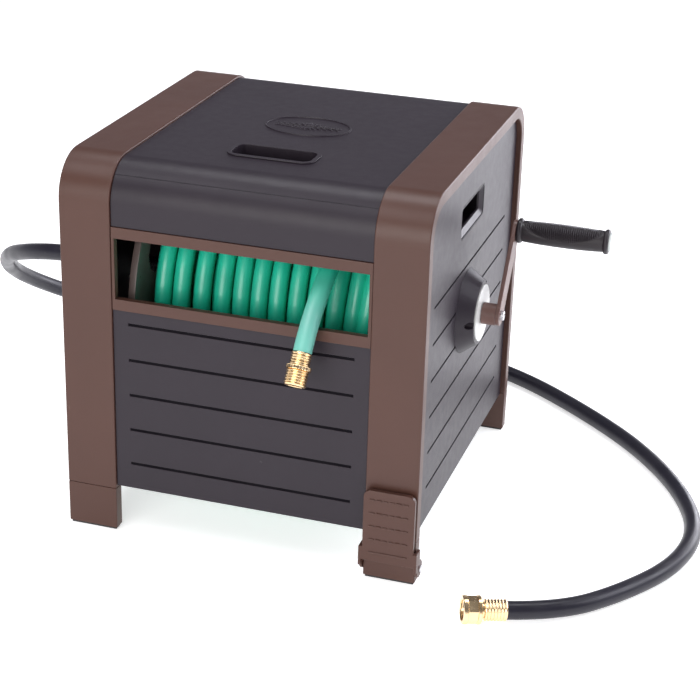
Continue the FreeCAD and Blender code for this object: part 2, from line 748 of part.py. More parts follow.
def bush():
    """A flanged plain bearing: a white disc outside and a sleeve through the housing."""
    sleeve = rod("bush_sleeve", (PANEL_X + "-panel_wall-1", *AXLE), "bush_radius",
                 "panel_wall+1+housing_height-bush_disc_seat")
    disc = rod("bush_disc", (HOUSING_X + "-bush_disc_seat", *AXLE), "bush_disc_radius", "bush_disc_thickness")
    bore = rod("bush_bore", (PANEL_X + "-panel_wall-2", *AXLE), "shaft_radius+running_fit",
               "2*housing_height")
    return cut("bush_right", fuse("bush_solid", sleeve, disc), bore)


right_housing = node("right_bearing_housing", bearing_housing())
node("left_bearing_housing", mirrored("housing_left", right_housing))
right_bush = node("right_bush", bush())
node("left_bush", mirrored("bush_left", right_bush))
right_cone_screws = [housing_screw(a) for a in HOUSING_SCREWS]
node("housing_screws", group("housing_screw_group", *right_cone_screws,
                             *[mirrored("housing_screw_left", s) for s in right_cone_screws]))


# ---------------------------------------------------------------- reel
def reel_flange():
    """A disc with a thick rim, a hub and six round windows; the windows are a polar pattern."""
    body = doc.addObject("PartDesign::Body", "flange_disc")
    disc = sketch_on(body, "disc_outline", "yz", "drum_length/2")
    circle_in(disc, "flange_radius", "disc")
    pad(body, disc, "flange_thickness", "disc_pad")
    window = sketch_on(body, "window_outline", "yz", "drum_length/2-%s" % PAST)
    circle_in(window, "window_radius", "window", "window_circle")
    doc.recompute()
    pocket = body.newObject("PartDesign::Pocket", "window_pocket")
    pocket.Profile = window
    pocket.Reversed = True
    pocket.setExpression("Length", formula("flange_thickness+2*%s" % PAST))
    pattern = body.newObject("PartDesign::PolarPattern", "windows")
    pattern.Originals = [pocket]
    pattern.Axis = ([f for f in body.Origin.OriginFeatures if f.Role == "X_Axis"][0], [""])
    pattern.Angle = 360
    pattern.Occurrences = 6
    body.Tip = pattern
    place(body, (0, *AXLE))
    rim = ring("flange_rim_ring", ("drum_length/2", *AXLE), "flange_radius", "flange_radius-flange_rim",
               "flange_rim_width")
    hub = rod("flange_hub", ("drum_length/2", *AXLE), "flange_hub_radius",
              "flange_thickness+flange_hub_length")
    register = ring("flange_register", ("drum_length/2-6", *AXLE), "drum_radius-drum_wall",
                    "drum_radius-2*drum_wall", "6+%s" % PAST)
    bore = rod("flange_bore", ("drum_length/2-%s" % PAST, *AXLE), "shaft_radius", "4*flange_hub_length")
    return cut("flange_right", fuse("flange_solid", body, rim, hub, register), bore)


def circle_in(item, radius, label, distance="0"):
    """One circle in a sketch, this far above the sketch's origin."""
    centre = Vector(0, worked(distance), 0)
    index = item.addGeometry(Part.Circle(centre, Vector(0, 0, 1), worked(radius)), False)
    constrain(item, "Radius", (index,), radius, label + "_radius")
    if distance == "0":
        constrain(item, "Coincident", (index, 3, -1, 1))
    else:
        constrain(item, "PointOnObject", (index, 3, -2))
        constrain(item, "DistanceY", (-1, 1, index, 3), distance, label + "_circle")


right_flange = node("right_flange", reel_flange())
node("left_flange", mirrored("flange_left", right_flange))

ELBOW_X = "(-drum_length/2+32)"
ELBOW_RADIUS = 9
ELBOW_BORE = 6
barrel = ring("barrel", ("-drum_length/2", *AXLE), "drum_radius", "drum_radius-drum_wall", "drum_length")
outlet = rod("outlet_hole", (ELBOW_X, *AXLE), "%s+running_fit" % ELBOW_RADIUS, "drum_radius+%s" % PAST, "z")
node("drum_barrel", cut("drum", barrel, outlet))

# crank-side stub: solid, with a tapped hole for the crank screw
STUB_INSIDE = 12
CRANK_SCREW = 3
CRANK_SCREW_DEPTH = 18
SOCKET = "(crank_hub_length-6)"
right_stub_start = "drum_length/2-%s" % STUB_INSIDE
right_stub = rod("right_stub_solid", (right_stub_start, *AXLE), "shaft_radius",
                 "%s+%s-(%s)" % (HUB_X, SOCKET, right_stub_start))
screw_hole = rod("stub_screw_hole", ("%s+%s-%s+6" % (HUB_X, SOCKET, CRANK_SCREW_DEPTH), *AXLE), CRANK_SCREW,
                 CRANK_SCREW_DEPTH)
node("right_axle_stub", cut("stub_right", right_stub, screw_hole))

# inlet-side stub: hollow, so water passes into the drum
WATER_BORE = 8.2
left_stub_end = "(%s+bush_disc_thickness-bush_disc_seat+2)" % HOUSING_X
node("left_axle_stub", ring("stub_left", ("-" + left_stub_end, *AXLE), "shaft_radius", WATER_BORE,
                            "%s-drum_length/2+%s" % (left_stub_end, STUB_INSIDE)))

# elbow inside the drum, from the hollow stub up to the winding
elbow_start = "-drum_length/2+%s" % STUB_INSIDE
elbow_corner = doc.addObject("Part::Sphere", "elbow_corner")
elbow_corner.Radius = ELBOW_RADIUS
place(elbow_corner, (ELBOW_X, *AXLE))
elbow_run = "%s-(%s)" % (ELBOW_X, elbow_start)
elbow_solid = fuse("elbow_solid", elbow_corner,
                   rod("elbow_run", (elbow_start, *AXLE), ELBOW_RADIUS, elbow_run),
                   rod("elbow_rise", (ELBOW_X, *AXLE), ELBOW_RADIUS, "drum_radius-1", "z"),
                   rod("elbow_collar", (elbow_start, *AXLE), "shaft_radius", 4))
elbow_hollow = fuse("elbow_hollow",
                    rod("elbow_run_bore", (elbow_start + "-%s" % PAST, *AXLE), ELBOW_BORE,
                        elbow_run + "+%s" % PAST),
                    rod("elbow_rise_bore", (ELBOW_X, *AXLE), ELBOW_BORE, "drum_radius+%s" % PAST, "z"))
node("water_elbow", cut("elbow", elbow_solid, elbow_hollow))

# the wound hose: three close layers, the outer one short of the inlet-side flange
LAYERS = 3
winding_inside = "drum_radius+seat_gap"
layer_top = "(%s+hose_diameter+%d*layer_rise)"
winding_body = fuse("winding_body",
                    rod("inner_layers", ("-winding_end", *AXLE), layer_top % (winding_inside, LAYERS - 2),
                        "2*winding_end"),
                    rod("outer_layer", ("winding_start", *AXLE), layer_top % (winding_inside, LAYERS - 1),
                        "winding_end-winding_start"))
node("hose_winding", cut("winding", winding_body,
                         rod("winding_bore", ("-winding_end-%s" % PAST, *AXLE), winding_inside,
                             "2*winding_end+2*%s" % PAST)))


# ---------------------------------------------------------------- crank, its screw and its spinning grip
crank_hub = rod("hub_solid", (HUB_X, *AXLE), "crank_hub_radius", "crank_hub_length")
hub_socket = rod("hub_socket", (HUB_X + "-%s" % PAST, *AXLE), "shaft_radius", SOCKET + "+%s" % PAST)
crank_hole = rod("crank_screw_hole", (HUB_X, *AXLE), CRANK_SCREW, "crank_hub_length+arm_thickness+%s" % PAST)
node("crank_hub", cut("hub", crank_hub, hub_socket, crank_hole))

arm_turn = Rotation(Vector(1, 0, 0), size("crank_angle"))
arm_bar = box("arm_bar", (ARM_X, *AXLE), ("arm_thickness", "crank_radius", "arm_width"))
# the bar lies along the crank's radius: its low edge starts half a width to the side of the axle
arm_bar.Placement = Placement(Vector(), arm_turn)
place(arm_bar, (ARM_X, "axle_y+arm_width/2*sin(crank_angle)", "axle_z-arm_width/2*cos(crank_angle)"))
arm_eyes = [rod("arm_eye", (ARM_X, *centre), "arm_width/2", "arm_thickness") for centre in (AXLE, CRANK_END)]
spindle_hole = rod("arm_spindle_hole", (ARM_X + "-%s" % PAST, *CRANK_END), "spindle_radius",
                   "arm_thickness+2*%s" % PAST)
node("crank_arm", cut("arm", fuse("arm_solid", arm_bar, *arm_eyes), spindle_hole, crank_hole))

SCREW_DOME = 3.5
crank_screw_start = "%s+%s-%s+6" % (HUB_X, SOCKET, CRANK_SCREW_DEPTH)
crank_screw = fuse("crank_screw_solid",
                   rod("crank_screw_shank", (crank_screw_start, *AXLE), CRANK_SCREW,
                       "%s+arm_thickness-(%s)" % (ARM_X, crank_screw_start)),
                   rod("crank_screw_head", (ARM_X + "+arm_thickness", *AXLE), 2 * CRANK_SCREW, SCREW_DOME))
screw_slot = box("crank_screw_slot", (ARM_X + "+arm_thickness+2", "axle_y-8", "axle_z-0.8"), (4, 16, 1.6))
node("crank_screw", cut("crank_screw_cut", crank_screw, screw_slot))

SPINDLE_HEAD = 8
SPINDLE_HEAD_THICKNESS = 3
CAP_THICKNESS = 3
spindle_end = "(%s+grip_length-8)" % GRIP_X
node("grip_spindle", fuse("spindle",
                          rod("spindle_rod", (ARM_X, *CRANK_END), "spindle_radius",
                              spindle_end + "-" + ARM_X),
                          rod("spindle_head", (spindle_end, *CRANK_END), SPINDLE_HEAD,
                              SPINDLE_HEAD_THICKNESS)))

grip_far = "(%s+grip_length-grip_end_length)" % GRIP_X
grip_solid = fuse("grip_solid",
                  rod("grip_barrel", (GRIP_X, *CRANK_END), "grip_radius", "grip_length"),
                  rod("grip_near_bead", (GRIP_X, *CRANK_END), "grip_end_radius", "grip_end_length"),
                  rod("grip_far_bead", (grip_far, *CRANK_END), "grip_end_radius", "grip_end_length"))
grip_bore = rod("grip_bore", (GRIP_X + "-%s" % PAST, *CRANK_END), "spindle_radius+running_fit",
                "grip_length+2*%s" % PAST)
head_room = rod("grip_head_room", (spindle_end + "-seat_gap", *CRANK_END), SPINDLE_HEAD + 0.8, "grip_length")
node("hand_grip", cut("grip", grip_solid, grip_bore, head_room))
node("grip_end_cap", fuse("cap",
                          rod("cap_plug", (GRIP_X + "+grip_length-3", *CRANK_END), SPINDLE_HEAD + 0.8, 3),
                          rod("cap_face", (GRIP_X + "+grip_length", *CRANK_END), "grip_radius-3",
                              CAP_THICKNESS)))


# ---------------------------------------------------------------- water inlet on the other side
TUBE_RADIUS = 7.9
TUBE_BORE = 4.5
SEAL_MIDDLE = 6.95
SEAL_THICKNESS = 1.2
SEAL_GROOVE = 2.8
SEAL_PLACES = (10, 17)
INLET_RING = 30
MALE_START = "(%s+bush_disc_thickness-bush_disc_seat+6.5)" % HOUSING_X
NUT_BACK = "(%s+16)" % MALE_START
inlet_seat = "(%s+bush_disc_thickness-bush_disc_seat)" % HOUSING_X
tube_inside = "(%s-24)" % inlet_seat


def inlet_rod(name, start, end, radius):
    """A cylinder about the axle, from one distance to another on the inlet side."""
    return rod(name, ("-(%s)" % end, *AXLE), radius, "%s-(%s)" % (end, start))


inlet_solid = fuse("inlet_solid",
                   inlet_rod("inlet_tube", tube_inside, MALE_START, TUBE_RADIUS),
                   inlet_rod("inlet_flange", inlet_seat, MALE_START, INLET_RING),
                   inlet_rod("inlet_spigot", MALE_START, MALE_START + "+12", "male_radius"))
stub_room = ring("inlet_stub_room", ("-(%s+3)" % inlet_seat, *AXLE), "shaft_radius+running_gap", TUBE_RADIUS,
                 "3+%s" % PAST)
inlet_bore = inlet_rod("inlet_bore", tube_inside + "-1", MALE_START + "+13", TUBE_BORE)
seal_grooves = [ring("seal_groove", ("-%s+%s-%s" % (inlet_seat, d, SEAL_GROOVE / 2), *AXLE), TUBE_RADIUS + 1,
                     SEAL_MIDDLE - SEAL_THICKNESS, SEAL_GROOVE) for d in SEAL_PLACES]
node("inlet_fitting", cut("inlet", inlet_solid, stub_room, inlet_bore, *seal_grooves))


def seal(distance):
    item = doc.addObject("Part::Torus", "inlet_seal")
    item.Radius1 = SEAL_MIDDLE
    item.Radius2 = SEAL_THICKNESS
    return place(item, ("-%s+%s" % (inlet_seat, distance), *AXLE), AXES["x"])


node("inlet_seals", group("inlet_seal_pair", *[seal(d) for d in SEAL_PLACES]))

inlet_nut = inlet_rod("inlet_nut_solid", MALE_START + "+seat_gap", NUT_BACK, "nut_radius")
nut_thread = inlet_rod("inlet_nut_thread", MALE_START, MALE_START + "+12.3", "male_radius")
nut_eye = inlet_rod("inlet_nut_eye", MALE_START, NUT_BACK + "+1", "hose_bore/2+1")
node("inlet_nut", cut("inlet_nut_cut", inlet_nut, nut_thread, nut_eye))
HOSE_START_X = "(%s+16)" % NUT_BACK
inlet_ferrule = inlet_rod("inlet_ferrule_solid", NUT_BACK, HOSE_START_X, "ferrule_radius")
node("inlet_ferrule", cut("inlet_ferrule_cut", inlet_ferrule,
                          inlet_rod("inlet_ferrule_bore", NUT_BACK + "-1", HOSE_START_X + "+1",
                                    "hose_bore/2")))


# ---------------------------------------------------------------- foot step
def foot_step():
    """A tread plate in front of the leg, with an ear on each side of it about the step's pin."""
    face = "(cabinet_depth/2+step_stand_off)"
    plate = rounded_slab("step_plate", "xz", face, (STEP_MIDDLE, "(step_low+step_top)/2"),
                         ("step_width", "step_top-step_low"), "step_corner", "step_thickness")
    foot_bar = box("step_bar",
                   ("%s-%s-ear_thickness" % (STEP_MIDDLE, EAR_X), "-%s-step_thickness" % face, "step_low"),
                   ("2*%s+2*ear_thickness" % EAR_X, "step_thickness", "2*step_corner"))
    ears = []
    for sign in (-1, 1):
        start = "%s-%s-ear_thickness" % (STEP_MIDDLE, EAR_X) if sign < 0 else "%s+%s" % (STEP_MIDDLE, EAR_X)
        pad_to = "%s+step_thickness+step_pivot_y" % face
        ears.append(rod("ear_boss", (start, "step_pivot_y", "step_pivot_z"), "ear_radius", "ear_thickness"))
        ears.append(box("ear_web", (start, "-%s-step_thickness" % face, "step_pivot_z"),
                        ("ear_thickness", pad_to, "step_low+2*step_corner-step_pivot_z")))
    treads = [
        box("tread", (STEP_MIDDLE + "-tread_length/2", "-%s-step_thickness-tread_rise" % face,
                      "step_top-12-%d*tread_pitch-tread_height/2" % i),
            ("tread_length", "tread_rise+%s" % PAST, "tread_height"))
        for i in range(5)
    ]
    gaps = [
        box("tread_gap", (STEP_MIDDLE + "+%s" % (x - 1), "-%s-step_thickness-tread_rise-%s" % (face, PAST),
                          "step_low+2*step_corner"),
            (2, "tread_rise+%s" % PAST, "step_top-step_low"))
        for x in (-16, -8, 0, 8, 16)
    ]
    bore = rod("step_bore", ("%s-2*strip_width" % STEP_MIDDLE, "step_pivot_y", "step_pivot_z"),
               "step_pin_radius+running_fit", "4*strip_width")
    return cut("step", fuse("step_solid", plate, foot_bar, *ears, *treads), *gaps, bore)


node("foot_step", foot_step())
pin_half = "(%s+ear_thickness+seat_gap)" % EAR_X
node("step_pin", fuse("step_pin_solid",
                      rod("step_pin_rod",
                          ("%s-%s-1" % (STEP_MIDDLE, pin_half), "step_pivot_y", "step_pivot_z"),
                          "step_pin_radius", "2*%s+2" % pin_half),
                      *[rod("step_pin_head", ("%s+%s" % (STEP_MIDDLE, x), "step_pivot_y", "step_pivot_z"),
                            PIN_HEAD_RADIUS, PIN_HEAD)
                        for x in (pin_half, "0-%s-%s" % (pin_half, PIN_HEAD))]))


# ---------------------------------------------------------------- hoses
# Each route is a list of points along the hose's middle, in mm. A run's ends are joined by tangent arcs.
LEADER_ROUTE = [
    (-278, -18, 272), (-330, -18, 272), (-392, 4, 257), (-448, 54, 228), (-486, 118, 186),
    (-501, 188, 142), (-484, 258, 98), (-436, 322, 57), (-358, 372, 26), (-258, 405, 12.5),
    (-140, 428, 11), (-20, 439, 11), (100, 428, 11), (213, 383, 11), (325, 298, 11),
    (420, 208, 11), (492, 104, 11), (528, 2, 11), (515, -94, 11), (464, -180, 11),
    (404, -249, 13), (346, -274.2, 16.2),
]
TAIL_ROUTE = [
    (96, -88, 422), (94.5, -118, 403.2), (93, -149, 384.6), (91.6, -181, 365.5), (90.4, -210, 345.5),
    (89.4, -236, 323.5), (88.6, -251, 306.5), (88, -260, 292.5),
]


def hose(name, route):
    """A tube along a route, with its shortest arc's radius and its length printed."""
    points = [Vector(*p) for p in route]
    edges = []
    radii = []
    start = points[0]
    for before, corner, after in zip(points, points[1:], points[2:]):
        back = (before - corner).normalize()
        ahead = (after - corner).normalize()
        half_turn = (math.pi - back.getAngle(ahead)) / 2
        reach = 0.45 * min(before.distanceToPoint(corner), corner.distanceToPoint(after))
        radius = reach / math.tan(half_turn)
        first, last = corner + back * reach, corner + ahead * reach
        middle_way = (back + ahead).normalize()
        centre = corner + middle_way * (radius / math.cos(half_turn))
        edges.append(Part.LineSegment(start, first).toShape())
        edges.append(Part.Arc(first, centre - middle_way * radius, last).toShape())
        radii.append(radius)
        start = last
    edges.append(Part.LineSegment(start, points[-1]).toShape())
    path = Part.Wire(edges)
    heading = (points[1] - points[0]).normalize()
    section = Part.Wire([Part.Circle(points[0], heading, size("hose_diameter") / 2).toShape()])
    tube = path.makePipeShell([section], True, True)
    expected = path.Length * math.pi * (size("hose_diameter") / 2) ** 2
    print("%s: length %.0f mm, radii %s, volume ratio %.4f"
          % (name, path.Length, [round(r) for r in radii], tube.Volume / expected))
    item = doc.addObject("Part::Feature", name)
    item.Shape = tube
    return item


def upright(name, radius, length):
    """A cylinder along its own Z, to be placed on a hose's end."""
    return rod(name, (0, 0, 0), radius, length, "z")


def hose_end_piece(name, item, route, distance):
    """A finished piece, built along its own Z, set on the line past a hose's end."""
    end, before = Vector(*route[-1]), Vector(*route[-2])
    heading = (end - before).normalize()
    item.Placement = Placement(end + heading * distance, Rotation(Vector(0, 0, 1), heading))
    return node(name, item)


node("leader_hose", hose("leader", LEADER_ROUTE))
node("hose_tail", hose("tail", TAIL_ROUTE))

# the leader's far end: ribbed ferrule, flanged stem, washer and the swivel nut that turns on the stem
FERRULE_LENGTH = 26
STEM_RADIUS = 9.5
STEM_FLANGE = 11.5
STEM_FLANGE_THICKNESS = 3
STEM_LENGTH = 10
WASHER_THICKNESS = 2.5
NUT_LIP = 3
NUT_PLAY = 0.4
NUT_BACK_GAP = 0.3
leader_ferrule = cut("leader_ferrule_cut", upright("leader_ferrule_solid", "ferrule_radius", FERRULE_LENGTH),
                     upright("leader_ferrule_bore", "hose_bore/2", FERRULE_LENGTH + PAST))
hose_end_piece("leader_ferrule", leader_ferrule, LEADER_ROUTE, 0)
stem_flange = rod("stem_flange", (0, 0, STEM_LENGTH - STEM_FLANGE_THICKNESS), STEM_FLANGE,
                  STEM_FLANGE_THICKNESS, "z")
leader_stem = cut("leader_stem_cut",
                  fuse("leader_stem_solid", upright("stem_tube", STEM_RADIUS, STEM_LENGTH), stem_flange),
                  rod("stem_bore", (0, 0, -PAST), "hose_bore/2", STEM_LENGTH + 2 * PAST, "z"))
hose_end_piece("leader_stem", leader_stem, LEADER_ROUTE, FERRULE_LENGTH)
washer = cut("washer_cut", upright("washer_solid", STEM_FLANGE, WASHER_THICKNESS),
             rod("washer_bore", (0, 0, -PAST), "hose_bore/2", WASHER_THICKNESS + 2 * PAST, "z"))
hose_end_piece("hose_washer", washer, LEADER_ROUTE, FERRULE_LENGTH + STEM_LENGTH)


def swivel_nut():
    """An eight-sided nut with a female thread and a lip behind the stem's flange."""
    body = doc.addObject("PartDesign::Body", "swivel_body")
    item = sketch_on(body, "swivel_outline", "xy", "0")
    corners = [(worked("nut_radius") * math.cos(math.radians(45 * k)),
                worked("nut_radius") * math.sin(math.radians(45 * k))) for k in range(8)]
    ids = [item.addGeometry(line(a, b), False) for a, b in zip(corners, corners[1:] + corners[:1])]
    outline = item.addGeometry(Part.Circle(Vector(), Vector(0, 0, 1), worked("nut_radius")), True)
    for this, after in zip(ids, ids[1:] + ids[:1]):
        constrain(item, "Coincident", (this, 2, after, 1))
        constrain(item, "PointOnObject", (this, 2, outline))
    for other in ids[1:]:
        constrain(item, "Equal", (ids[0], other))
    constrain(item, "Coincident", (outline, 3, -1, 1))
    constrain(item, "PointOnObject", (ids[0], 1, -1))
    constrain(item, "Radius", (outline,), "nut_radius", "corner_radius")
    pad(body, item, "nut_length", "swivel_pad")
    thread = rod("swivel_thread", (0, 0, NUT_LIP + STEM_FLANGE_THICKNESS + WASHER_THICKNESS + NUT_PLAY),
                 "female_radius", "nut_length", "z")
    flange_room = rod("swivel_flange_room", (0, 0, NUT_LIP), STEM_FLANGE + 0.4, "nut_length", "z")
    eye = rod("swivel_eye", (0, 0, -PAST), STEM_RADIUS + 0.3, "nut_length", "z")
    return cut("swivel_cut", body, thread, flange_room, eye)


nut_start = FERRULE_LENGTH + STEM_LENGTH - STEM_FLANGE_THICKNESS - NUT_LIP - NUT_BACK_GAP
hose_end_piece("leader_swivel_nut", swivel_nut(), LEADER_ROUTE, nut_start)

# the tail's end: ferrule and male fitting
TAIL_FERRULE_LENGTH = 15
tail_ferrule = cut("tail_ferrule_cut", upright("tail_ferrule_solid", "ferrule_radius-1", TAIL_FERRULE_LENGTH),
                   upright("tail_ferrule_bore", "hose_bore/2", TAIL_FERRULE_LENGTH + PAST))
hose_end_piece("tail_ferrule", tail_ferrule, TAIL_ROUTE, 0)
male = cut("tail_male_cut",
           fuse("tail_male_solid", upright("tail_male_thread", "male_radius", "male_length"),
                upright("tail_male_collar", "male_radius+1.2", 6)),
           rod("tail_male_bore", (0, 0, -PAST), "hose_bore/2", "2*male_length", "z"))
hose_end_piece("tail_male_fitting", male, TAIL_ROUTE, TAIL_FERRULE_LENGTH)


# ---------------------------------------------------------------- check and export
doc.recompute()
faults = [o.Name for o in doc.Objects if {"Invalid", "Error"} & set(o.State)]
shapes = {}
for item in nodes:
    shape = item.Shape
    if shape.isNull() or not shape.isValid() or not shape.Solids:
        faults.append(item.Label + " has no valid solid")
    else:
        shapes[item.Label] = shape
if faults:
    raise RuntimeError("these objects failed: %s" % faults)
if len(shapes) != len(nodes):
    raise RuntimeError("two sub-parts share a label")

os.makedirs("parts", exist_ok=True)
for label, shape in shapes.items():
    shape.exportStep("parts/%s.step" % label)
print("%d nodes written" % len(shapes))
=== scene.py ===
# Garden hose reel in a four-legged cabinet: finishes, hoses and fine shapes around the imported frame.
# Metres. X runs to the crank side, -Y is the front with the hose slot, +Z is up.
import json
import math
import random

import bmesh
import bpy
from mathutils import Matrix, Vector


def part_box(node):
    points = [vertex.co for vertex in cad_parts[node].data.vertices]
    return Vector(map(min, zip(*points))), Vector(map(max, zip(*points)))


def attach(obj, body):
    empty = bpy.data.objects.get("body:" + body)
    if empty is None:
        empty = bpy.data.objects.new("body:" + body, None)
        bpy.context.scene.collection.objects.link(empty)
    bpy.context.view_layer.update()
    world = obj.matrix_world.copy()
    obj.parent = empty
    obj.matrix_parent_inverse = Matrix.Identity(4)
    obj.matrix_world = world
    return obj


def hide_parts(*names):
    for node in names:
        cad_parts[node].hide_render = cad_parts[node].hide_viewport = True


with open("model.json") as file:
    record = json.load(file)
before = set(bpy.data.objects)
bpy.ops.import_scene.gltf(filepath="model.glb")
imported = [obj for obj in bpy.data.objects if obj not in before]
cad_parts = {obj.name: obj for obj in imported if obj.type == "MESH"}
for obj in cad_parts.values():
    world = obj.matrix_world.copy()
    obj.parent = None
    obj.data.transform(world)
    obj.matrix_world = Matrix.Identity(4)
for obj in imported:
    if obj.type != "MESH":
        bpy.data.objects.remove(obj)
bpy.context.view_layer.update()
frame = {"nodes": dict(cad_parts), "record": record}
nodes = frame["nodes"]
scene = bpy.context.scene

MM = 0.001
AXLE_Y, AXLE_Z = -18 * MM, 272 * MM
HOSE_RADIUS = 11 * MM


def mm(points):
    """Points given in millimetres, as vectors in metres."""
    return [Vector(p) * MM for p in points]


# ---------------------------------------------------------------- camera
CAMERA_AT = (0.700351, -2.064887, 1.127858)
CAMERA_TURN, CAMERA_DOWN, CAMERA_ROLL = 17.115, 23.540, 1.725  # degrees
CAMERA_LENS = 94.231  # millimetres, on a 36 mm sensor


def set_camera():
    """A view from the front right: turned about Z, tipped down, and rolled a little."""
    turn, down, roll = (math.radians(a) for a in (CAMERA_TURN, CAMERA_DOWN, CAMERA_ROLL))
    back = Vector((math.sin(turn) * math.cos(down), -math.cos(turn) * math.cos(down), math.sin(down)))
    right = Vector((0, 0, 1)).cross(back).normalized()
    up = back.cross(right)
    across = right * math.cos(roll) + up * math.sin(roll)
    upward = up * math.cos(roll) - right * math.sin(roll)
    camera = bpy.data.objects.new("camera", bpy.data.cameras.new("camera"))
    scene.collection.objects.link(camera)
    aim = Matrix((across, upward, back)).transposed().to_4x4()
    camera.matrix_world = Matrix.Translation(CAMERA_AT) @ aim
    camera.data.sensor_width = 36
    camera.data.lens = CAMERA_LENS
    camera.data.clip_start, camera.data.clip_end = 0.05, 50
    scene.camera = camera


set_camera()


# ---------------------------------------------------------------- finishes
class Finish:
    """A Principled material whose colour, roughness and relief come from noise on object coordinates."""

    def __init__(self, name, colour, rough, metal=0.0, specular=0.5, coat=0.0):
        self.material = bpy.data.materials.new(name)
        self.material.use_nodes = True
        self.tree = self.material.node_tree
        self.shader = self.tree.nodes["Principled BSDF"]
        self.shader.inputs["Metallic"].default_value = metal
        self.shader.inputs["Specular IOR Level"].default_value = specular
        self.shader.inputs["Coat Weight"].default_value = coat
        self.shader.inputs["Base Color"].default_value = (*colour, 1)
        self.shader.inputs["Roughness"].default_value = rough
        self.colour, self.rough = colour, rough
        self.place = self.add("ShaderNodeTexCoord").outputs["Object"]
        self.tone = None
        self.relief = None

    def add(self, kind, **settings):
        node = self.tree.nodes.new(kind)
        for key, value in settings.items():
            setattr(node, key, value)
        return node

    def join(self, out, into):
        self.tree.links.new(out, into)

    def noise(self, scale, detail, stretch=None, rough=0.5):
        """The value of a noise pattern that may be stretched along an axis."""
        node = self.add("ShaderNodeTexNoise")
        node.inputs["Scale"].default_value = scale
        node.inputs["Detail"].default_value = detail
        node.inputs["Roughness"].default_value = rough
        place = self.place
        if stretch:
            mapping = self.add("ShaderNodeMapping")
            mapping.inputs["Scale"].default_value = stretch
            self.join(place, mapping.inputs["Vector"])
            place = mapping.outputs["Vector"]
        self.join(place, node.inputs["Vector"])
        return node.outputs["Fac"]

    def ramp(self, fac, stops):
        """A value turned into colours, or into greys, by its stops."""
        node = self.add("ShaderNodeValToRGB")
        while len(node.color_ramp.elements) < len(stops):
            node.color_ramp.elements.new(0.5)
        for element, (at, colour) in zip(node.color_ramp.elements, stops):
            element.position = at
            element.color = (*colour, 1) if isinstance(colour, tuple) else (colour, colour, colour, 1)
        self.join(fac, node.inputs["Fac"])
        return node.outputs["Color"]

    def blend(self, fac, first, second):
        """One colour over another by a mask; either may be fixed or come from a node."""
        node = self.add("ShaderNodeMix", data_type="RGBA")
        self.join(fac, node.inputs["Factor"])
        for socket, value in ((node.inputs["A"], first), (node.inputs["B"], second)):
            if isinstance(value, tuple):
                socket.default_value = (*value, 1)
            else:
                self.join(value, socket)
        return node.outputs["Result"]

    def mottle(self, amount, scale=9.0):
        """Slow, broad changes of tone over the surface."""
        darker = tuple(c * (1 - amount) for c in self.colour)
        lighter = tuple(min(1, c * (1 + amount)) for c in self.colour)
        self.tone = self.ramp(self.noise(scale, 5), ((0.3, darker), (0.7, lighter)))
        return self

    def scuffs(self, colour, scale=60.0, start=0.66, end=0.74, stretch=(1, 1, 1)):
        """Sparse, small light marks, as from handling."""
        mask = self.ramp(self.noise(scale, 6, stretch, 0.62), ((start, 0.0), (end, 0.55)))
        self.tone = self.blend(mask, self.tone or self.colour, colour)
        return self

    def dust(self, colour, amount=0.35, scale=14.0):
        """A thin pale film on what faces up."""
        facing = self.add("ShaderNodeSeparateXYZ")
        self.join(self.add("ShaderNodeNewGeometry").outputs["Normal"], facing.inputs["Vector"])
        up = self.add("ShaderNodeMath", operation="MULTIPLY")
        self.join(facing.outputs["Z"], up.inputs[0])
        cloud = self.ramp(self.noise(scale, 6), ((0.42, 0.0), (0.75, amount)))
        self.join(cloud, up.inputs[1])
        up.use_clamp = True
        self.tone = self.blend(up.outputs["Value"], self.tone or self.colour, colour)
        return self

    def painted_highlight(self, colour, start, end):
        """Painted highlight: paler towards the front, between two places along Y in metres, where light
        falls on the hose outside the slot.
        """
        split = self.add("ShaderNodeSeparateXYZ")
        self.join(self.place, split.inputs["Vector"])
        reach = self.add("ShaderNodeMapRange")
        reach.inputs["From Min"].default_value, reach.inputs["From Max"].default_value = start, end
        self.join(split.outputs["Y"], reach.inputs["Value"])
        self.tone = self.blend(reach.outputs["Result"], self.tone or self.colour, colour)
        return self

    def uneven(self, spread, scale=38.0):
        """Roughness that wanders about its middle value."""
        low, high = max(0.02, self.rough - spread), min(1, self.rough + spread)
        self.join(self.ramp(self.noise(scale, 4), ((0.3, low), (0.7, high))),
                  self.shader.inputs["Roughness"])
        return self

    def grain(self, scale, depth, strength=0.4):
        """Fine relief: moulded grain, brushing or rubber skin."""
        bump = self.add("ShaderNodeBump")
        bump.inputs["Strength"].default_value = strength
        bump.inputs["Distance"].default_value = depth
        self.join(self.noise(scale, 2.0), bump.inputs["Height"])
        if self.relief:
            self.join(self.relief, bump.inputs["Normal"])
        self.relief = bump.outputs["Normal"]
        return self

    def done(self):
        """Give the shader its tone and relief, and return the material."""
        if self.tone:
            self.join(self.tone, self.shader.inputs["Base Color"])
        if self.relief:
            self.join(self.relief, self.shader.inputs["Normal"])
        return self.material


